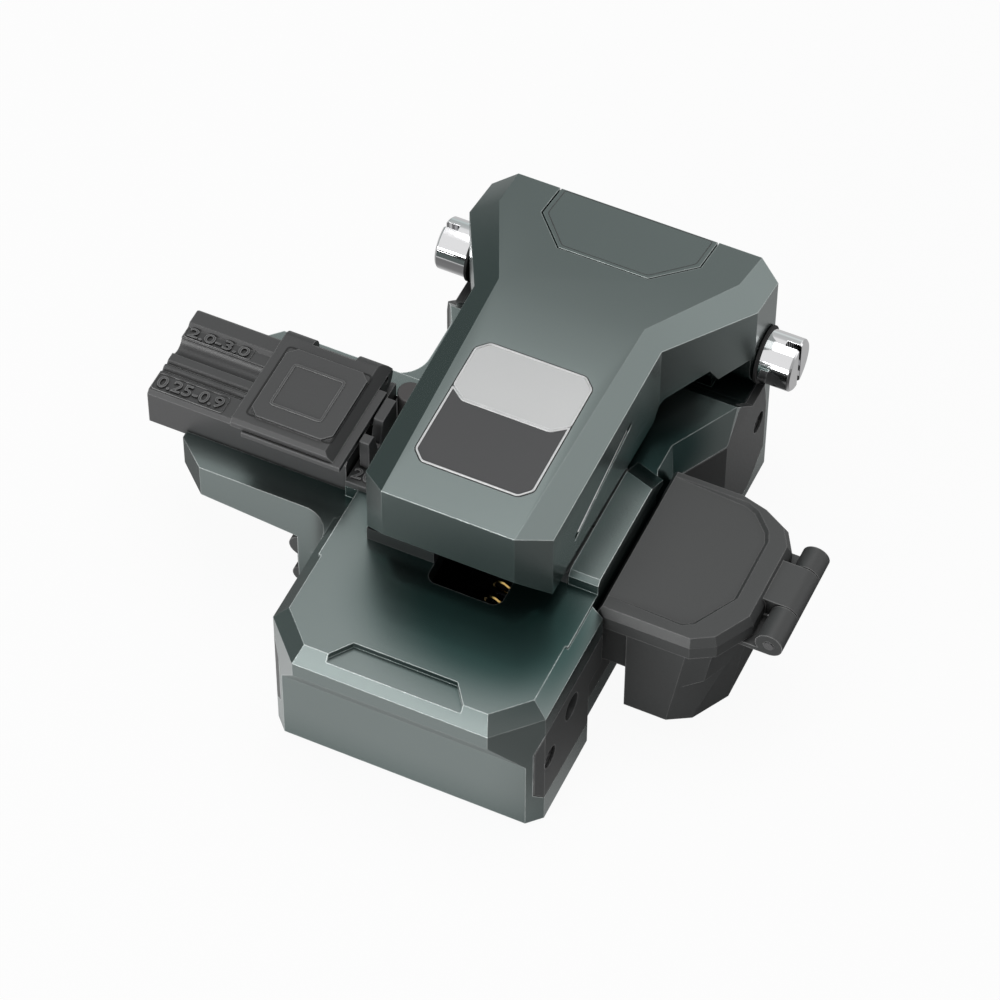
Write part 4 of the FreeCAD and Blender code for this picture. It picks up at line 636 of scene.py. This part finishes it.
def ribbon(name, outline, width, height, level, source, material):
    """A raised line along a closed outline in millimetres; level gives the ground's height there."""
    slope = height * RIBBON_SLOPE
    profile = ((0, -RIBBON_SINK), (0, height - slope), (slope, height), (width - slope, height),
               (width, height - slope), (width, -RIBBON_SINK))
    points = [place(q.x, q.y, level(q.x, q.y) + rise)
              for inset_by, rise in profile for q in inward(outline, inset_by)]
    count = len(outline)
    faces = []
    for r in range(len(profile)):
        nearer, farther = r * count, (r + 1) % len(profile) * count
        for i in range(count):
            j = (i + 1) % count
            faces.append((nearer + i, nearer + j, farther + j, farther + i))
    mesh = bpy.data.meshes.new(name)
    mesh.from_pydata(points, [], faces)
    return as_piece(name, mesh, source, material)


print("ribbon helpers made")

# %% [markdown]
# The label is a bright plate and a dark field, each with a thin bright rim, and one dark line round
# both, the painted shade of the gap, parts them from the lid. In the middle the bright plate reaches
# forward between the dark field's two shoulders. Both lie on the lid's slope, and the ribbons' height
# follows it.

# %% Label rims and painted gap shade
LABEL_CORNER = 1.8
RIM_CORNER = 0.5
SPLIT_HALF = 7.2
SEAM_OUT = 0.16


def millimetres(point):
    """A point of the frame, in metres, in the casting's millimetres."""
    return (point - MIDDLE) * 1000


dark_low, dark_high = (millimetres(corner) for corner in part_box("label_lower"))
bright_low, bright_high = (millimetres(corner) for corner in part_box("label_upper"))
label_slope = (bright_high.z - dark_high.z) / (bright_high.y - dark_high.y)


def label_level(x, y):
    """Height of the label's face."""
    return dark_high.z + label_slope * (y - dark_high.y)


left_x, right_x = dark_low.x, dark_high.x
front_y, shoulder_y, reach_y, rear_y = dark_low.y, dark_high.y, bright_low.y, bright_high.y
front_corners = [(left_x + LABEL_CORNER, front_y), (right_x - LABEL_CORNER, front_y)]
rear_corners = [(right_x, rear_y - LABEL_CORNER), (right_x - LABEL_CORNER, rear_y),
                (left_x + LABEL_CORNER, rear_y), (left_x, rear_y - LABEL_CORNER)]
right_front, left_front = (right_x, front_y + LABEL_CORNER), (left_x, front_y + LABEL_CORNER)
right_shoulder, left_shoulder = (right_x, shoulder_y), (left_x, shoulder_y)
right_split, left_split = (SPLIT_HALF, reach_y), (-SPLIT_HALF, reach_y)
dark_outline = front_corners + [right_front, right_shoulder, right_split,
                                left_split, left_shoulder, left_front]
bright_outline = [right_shoulder] + rear_corners + [left_shoulder, left_split, right_split]
whole_outline = front_corners + [right_front] + rear_corners + [left_front]
ribbon("label_rim", rounded_outline(dark_outline, RIM_CORNER), width=0.34, height=0.12,
       level=label_level, source="label_lower", material="label_bright")
ribbon("plate_rim", rounded_outline(bright_outline, RIM_CORNER), width=0.3, height=0.10,
       level=label_level, source="label_upper", material="label_bright")
# A dark line round both parts paints the shade in the gap to the lid.
ribbon("label_seam", inward(rounded_outline(whole_outline, RIM_CORNER), -SEAM_OUT), width=0.22,
       height=0.05, level=label_level, source="label_lower", material="rubber")
print("label rims and seam laid, slope", round(label_slope, 3))

# %% [markdown]
# The panel at the lid's rear has a fine groove round it, a little inside its edge; a dark line laid
# there is painted shade of that groove. Its outline runs past the rear edge, where the panel goes on
# down the back of the lid.

# %% Rear panel's painted groove shade
PANEL_INSET = 0.7
PANEL_FRONT_HALF = 7.6
PANEL_CORNER_AFTER = 7.0
PANEL_PAST = 0.5
PANEL_ROUND = 0.6
REAR_ROW = 0.01
panel_low, panel_high = (millimetres(corner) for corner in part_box("lid_rear_panel"))
rear_edge = max(millimetres(v.co).z for v in nodes["lid_rear_panel"].data.vertices
                if millimetres(v.co).y > panel_high.y - REAR_ROW)
panel_slope = (rear_edge - panel_high.z) / (panel_high.y - panel_low.y)


def panel_level(x, y):
    """Height of the rear panel's face."""
    return panel_high.z + panel_slope * (y - panel_low.y)


panel_outline = [(-PANEL_FRONT_HALF, panel_low.y), (PANEL_FRONT_HALF, panel_low.y),
                 (panel_high.x, panel_low.y + PANEL_CORNER_AFTER), (panel_high.x, panel_high.y + PANEL_PAST),
                 (panel_low.x, panel_high.y + PANEL_PAST), (panel_low.x, panel_low.y + PANEL_CORNER_AFTER)]
panel_inner = inward([Vector(corner) for corner in panel_outline], PANEL_INSET)
# The dark line paints the shade in the panel's groove.
ribbon("panel_line", rounded_outline(panel_inner, PANEL_ROUND), width=0.16, height=0.02,
       level=panel_level, source="lid_rear_panel", material="anodised")
print("panel line laid, slope", round(panel_slope, 3))

# %% [markdown]
# On the holder, fine raised frames surround the two numbers, a dark line round the top of the
# cover's cap paints the shade of the groove at its edge, and a wider frame surrounds the pad on it.

# %% Frames on the holder
HOLDER_FRONT_RISE, HOLDER_STEP_RISE = 7.1, 7.6
PAD_RISE = 0.5
SMALL_SIZE_FRAME = (-57.0, -44.6, 29.5, 32.9)
CABLE_SIZE_FRAME = (-57.0, -45.4, 40.45, 42.75)
CAP_EDGE = (-39.5, -25.0, 27.45, 42.45)
PAD_EDGE = (-36.9, -27.9, 30.3, 39.3)
holder_floor = millimetres(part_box("holder_body")[0]).z
front_level, step_level = holder_floor + HOLDER_FRONT_RISE, holder_floor + HOLDER_STEP_RISE
pad_level = millimetres(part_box("holder_clamp")[1]).z
cap_level = pad_level - PAD_RISE


def frame_outline(x0, x1, y0, y1, corner):
    """A rectangle with rounded corners, anticlockwise."""
    return rounded_outline([(x0, y0), (x1, y0), (x1, y1), (x0, y1)], corner)


def flat_at(height):
    """A level that is the same everywhere."""
    return lambda x, y: height


ribbon("small_size_frame", frame_outline(*SMALL_SIZE_FRAME, corner=0.7), width=0.16, height=0.16,
       level=flat_at(front_level), source="holder_body", material="plastic")
ribbon("cable_size_frame", frame_outline(*CABLE_SIZE_FRAME, corner=0.6), width=0.14, height=0.16,
       level=flat_at(step_level), source="holder_body", material="plastic")
# Painted shade of the groove round the cap's top.
ribbon("pad_seam", frame_outline(*CAP_EDGE, corner=0.9), width=0.28, height=0.05,
       level=flat_at(cap_level), source="holder_clamp", material="rubber")
ribbon("pad_frame", frame_outline(*PAD_EDGE, corner=0.8), width=0.5, height=0.12,
       level=flat_at(pad_level), source="holder_clamp", material="plastic")
print("frames laid; the cover's cap and pad are at", round(cap_level, 2), round(pad_level, 2), "mm")

# %% [markdown]
# The groove in each side of the lid catches a highlight on its lower slope: a narrow bright bar laid in it
# paints that highlight.

# %% Painted highlights in the side grooves
GROOVE_FRONT, GROOVE_REAR = (29.2, 35.45), (46.8, 39.85)
GROOVE_FLOOR_X, GROOVE_MOUTH_X = 14.6, 15.24
BAR_TALL = 0.8
for side, name in ((1, "groove_bar_right"), (-1, "groove_bar_left")):
    corners = [place(side * x, y, z + rise) for y, z in (GROOVE_FRONT, GROOVE_REAR)
               for x, rise in ((GROOVE_FLOOR_X, 0), (GROOVE_MOUTH_X, 0), (GROOVE_FLOOR_X, BAR_TALL))]
    bar = bpy.data.meshes.new(name)
    bar.from_pydata(corners, [], [(0, 1, 2), (5, 4, 3), (0, 3, 4, 1), (1, 4, 5, 2), (2, 5, 3, 0)])
    work = bmesh.new()
    work.from_mesh(bar)
    bmesh.ops.recalc_face_normals(work, faces=work.faces)
    work.to_mesh(bar)
    work.free()
    as_piece(name, bar, "lid_shell", "label_bright")
print("bars laid")

# %% [markdown]
# The holder is marked with the diameters that its grooves take, and the scale plate with a number.
# They stand up a little from the plastic, like moulded ones.

# %% Moulded numbers
NUMBER_RAISE, NUMBER_SINK = 0.32, 0.1
NUMBER_DEPTH = 0.5
STROKE_WIDER = 0.012


def moulded(name, words, x, y, z, length, height, source, material):
    """Raised lettering whose lower left corner is at x, y and that is fitted to a length and height."""
    curve = bpy.data.curves.new(name, "FONT")
    curve.body = words
    curve.extrude = NUMBER_DEPTH
    curve.offset = STROKE_WIDER
    draft = bpy.data.objects.new(name + "_draft", curve)
    bpy.context.scene.collection.objects.link(draft)
    mesh = bpy.data.meshes.new_from_object(draft.evaluated_get(bpy.context.evaluated_depsgraph_get()))
    bpy.data.objects.remove(draft)
    xs, ys = [v.co.x for v in mesh.vertices], [v.co.y for v in mesh.vertices]
    fit_x, fit_y = length / (max(xs) - min(xs)), height / (max(ys) - min(ys))
    for v in mesh.vertices:
        rise = NUMBER_RAISE if v.co.z > 0 else -NUMBER_SINK
        v.co = place(x + (v.co.x - min(xs)) * fit_x, y + (v.co.y - min(ys)) * fit_y, z + rise)
    return as_piece(name, mesh, source, material)


scale_top = millimetres(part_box("scale_plate")[1]).z
moulded("small_sizes", "0.25-0.9", x=-56.4, y=30.1, z=front_level, length=11.2, height=2.2,
        source="holder_body", material="plastic")
moulded("cable_sizes", "2.0-3.0", x=-56.4, y=40.72, z=step_level, length=10.4, height=1.78,
        source="holder_body", material="plastic")
moulded("plate_number", "20", x=-22.3, y=28.5, z=scale_top, length=3.4, height=2.0,
        source="scale_plate", material="plastic")
print("numbers moulded")

# %% [markdown]
# The screws are all alike, so one head with a cross recess is made once. It is a stack of rings for
# the head and the short shank, and a cross-shaped pit whose mouth is joined to the top ring.

# %% One screw
HEAD_RADIUS, RECESS_DEPTH, HEAD_SIDES = 0.00187, 0.0007, 24
ARM_SHARE, REACH_SHARE = 0.17, 0.62
CHAMFER_SHARE, SHANK_SHARE = 0.9, 0.5
CHAMFER_DROP, HEAD_DROP, SHANK_DROP = 0.1, 0.64, 2


def screw_model():
    """One screw with its face at z = 0: chamfered head with a cross recess, and a short shank."""
    work = bmesh.new()
    arm, reach = HEAD_RADIUS * ARM_SHARE, HEAD_RADIUS * REACH_SHARE
    cross = [(arm, arm), (reach, arm), (reach, -arm), (arm, -arm), (arm, -reach), (-arm, -reach),
             (-arm, -arm), (-reach, -arm), (-reach, arm), (-arm, arm), (-arm, reach), (arm, reach)]
    turns = [2 * math.pi * i / HEAD_SIDES for i in range(HEAD_SIDES)]

    def loop(points, z):
        return [work.verts.new((x, y, z)) for x, y in points]

    def ring(share, drop):
        r = HEAD_RADIUS * share
        return loop([(r * math.cos(a), r * math.sin(a)) for a in turns], -drop * HEAD_RADIUS)

    def pairs(verts):
        return list(zip(verts, verts[1:] + verts[:1]))

    def wall(upper, lower):
        for (a, b), (c, d) in zip(pairs(upper), pairs(lower)):
            work.faces.new((a, b, d, c))

    rings = [ring(CHAMFER_SHARE, 0), ring(1, CHAMFER_DROP), ring(1, HEAD_DROP),
             ring(SHANK_SHARE, HEAD_DROP), ring(SHANK_SHARE, SHANK_DROP)]
    for upper, lower in zip(rings, rings[1:]):
        wall(upper, lower)
    work.faces.new(rings[-1])
    mouth, bottom = loop(cross, 0), loop(cross, -RECESS_DEPTH)
    wall(mouth, bottom)
    work.faces.new(bottom)
    rims = [work.edges.get(pair) or work.edges.new(pair) for rim in (rings[0], mouth) for pair in pairs(rim)]
    bmesh.ops.triangle_fill(work, use_beauty=True, edges=rims)
    bmesh.ops.recalc_face_normals(work, faces=work.faces)
    mesh = bpy.data.meshes.new("screw_model")
    work.to_mesh(mesh)
    work.free()
    return bpy.data.objects.new("screw_model", mesh)


one_screw = screw_model()
print("a screw of", len(one_screw.data.polygons), "faces")

# %% [markdown]
# A Geometry Nodes group puts a copy of a model at each point, turned to face the way that the
# point's own "facing" says, makes the copies real and gives them their finish.

# %% Stamp on points
stamp = bpy.data.node_groups.new("stamp_on_points", "GeometryNodeTree")
stamp.interface.new_socket("Points", in_out="INPUT", socket_type="NodeSocketGeometry")
model_socket = stamp.interface.new_socket("Model", in_out="INPUT", socket_type="NodeSocketObject")
finish_socket = stamp.interface.new_socket("Finish", in_out="INPUT", socket_type="NodeSocketMaterial")
stamp.interface.new_socket("Geometry", in_out="OUTPUT", socket_type="NodeSocketGeometry")
given = stamp.nodes.new("NodeGroupInput").outputs
model = node_of(stamp, "GeometryNodeObjectInfo", Object=given["Model"])
facing = node_of(stamp, "GeometryNodeInputNamedAttribute", Name="facing")
facing.data_type = "FLOAT_VECTOR"
turned = node_of(stamp, "FunctionNodeAlignRotationToVector", Vector=facing.outputs["Attribute"])
turned.axis = "Z"
copies = node_of(stamp, "GeometryNodeInstanceOnPoints", Points=given["Points"],
                 Instance=model.outputs["Geometry"], Rotation=turned.outputs["Rotation"])
real = node_of(stamp, "GeometryNodeRealizeInstances", Geometry=copies.outputs[0])
dressed = node_of(stamp, "GeometryNodeSetMaterial", Geometry=real.outputs[0], Material=given["Finish"])
stamp.links.new(dressed.outputs[0], stamp.nodes.new("NodeGroupOutput").inputs["Geometry"])
print("stamp group of", len(stamp.nodes), "nodes")

# %% [markdown]
# The places are read from the CAD's own plain screws: each separate part of such a node is one
# screw, and the outer face of its box is where the head goes.

# %% Screws in their places
RIGHTWARDS, DOWNWARDS = Vector((1, 0, 0)), Vector((0, 0, -1))


def islands(name):
    """Lowest and highest corner of each separate part of a CAD node, in metres."""
    work = bmesh.new()
    work.from_mesh(nodes[name].data)
    bmesh.ops.remove_doubles(work, verts=work.verts, dist=MERGE_WITHIN)
    left, found = set(work.verts), []
    while left:
        stack = [left.pop()]
        group = list(stack)
        while stack:
            for edge in stack.pop().link_edges:
                for vert in edge.verts:
                    if vert in left:
                        left.remove(vert)
                        stack.append(vert)
                        group.append(vert)
        found.append(tuple(Vector(pick(v.co[k] for v in group) for k in range(3)) for pick in (min, max)))
    work.free()
    return found


def sideways(centre):
    """Straight out to the right or the left, whichever side a screw is on."""
    return Vector((math.copysign(1, centre.x - MIDDLE.x), 0, 0))


def screws(name, source, facing_of):
    """Screws in place of a CAD node's, each at the outer face of one of its parts."""
    spots, ways = [], []
    for lowest, highest in islands(source):
        centre, half = (lowest + highest) / 2, (highest - lowest) / 2
        way = facing_of(centre)
        spots.append(centre + Vector(way[k] * half[k] for k in range(3)))
        ways.append(way)
    mesh = bpy.data.meshes.new(name + "_points")
    mesh.from_pydata(spots, [], [])
    kept = mesh.attributes.new("facing", "FLOAT_VECTOR", "POINT")
    for item, way in zip(kept.data, ways):
        item.vector = way
    carrier = bpy.data.objects.new(name + "_points", mesh)
    bpy.context.scene.collection.objects.link(carrier)
    modifier = carrier.modifiers.new("stamp", "NODES")
    modifier.node_group = stamp
    modifier[model_socket.identifier] = one_screw
    modifier[finish_socket.identifier] = finishes["steel"]
    made = bpy.data.meshes.new_from_object(carrier.evaluated_get(bpy.context.evaluated_depsgraph_get()))
    bpy.data.objects.remove(carrier)
    piece = as_piece(name, made, source, "steel")
    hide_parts(source)
    return len(spots)


total = screws("side_screws", "side_cover_screws", sideways)
total += screws("under_screws", "bottom_plate_screws", lambda centre: DOWNWARDS)
total += screws("bin_screws", "collector_screws", lambda centre: RIGHTWARDS)
print(total, "screws")
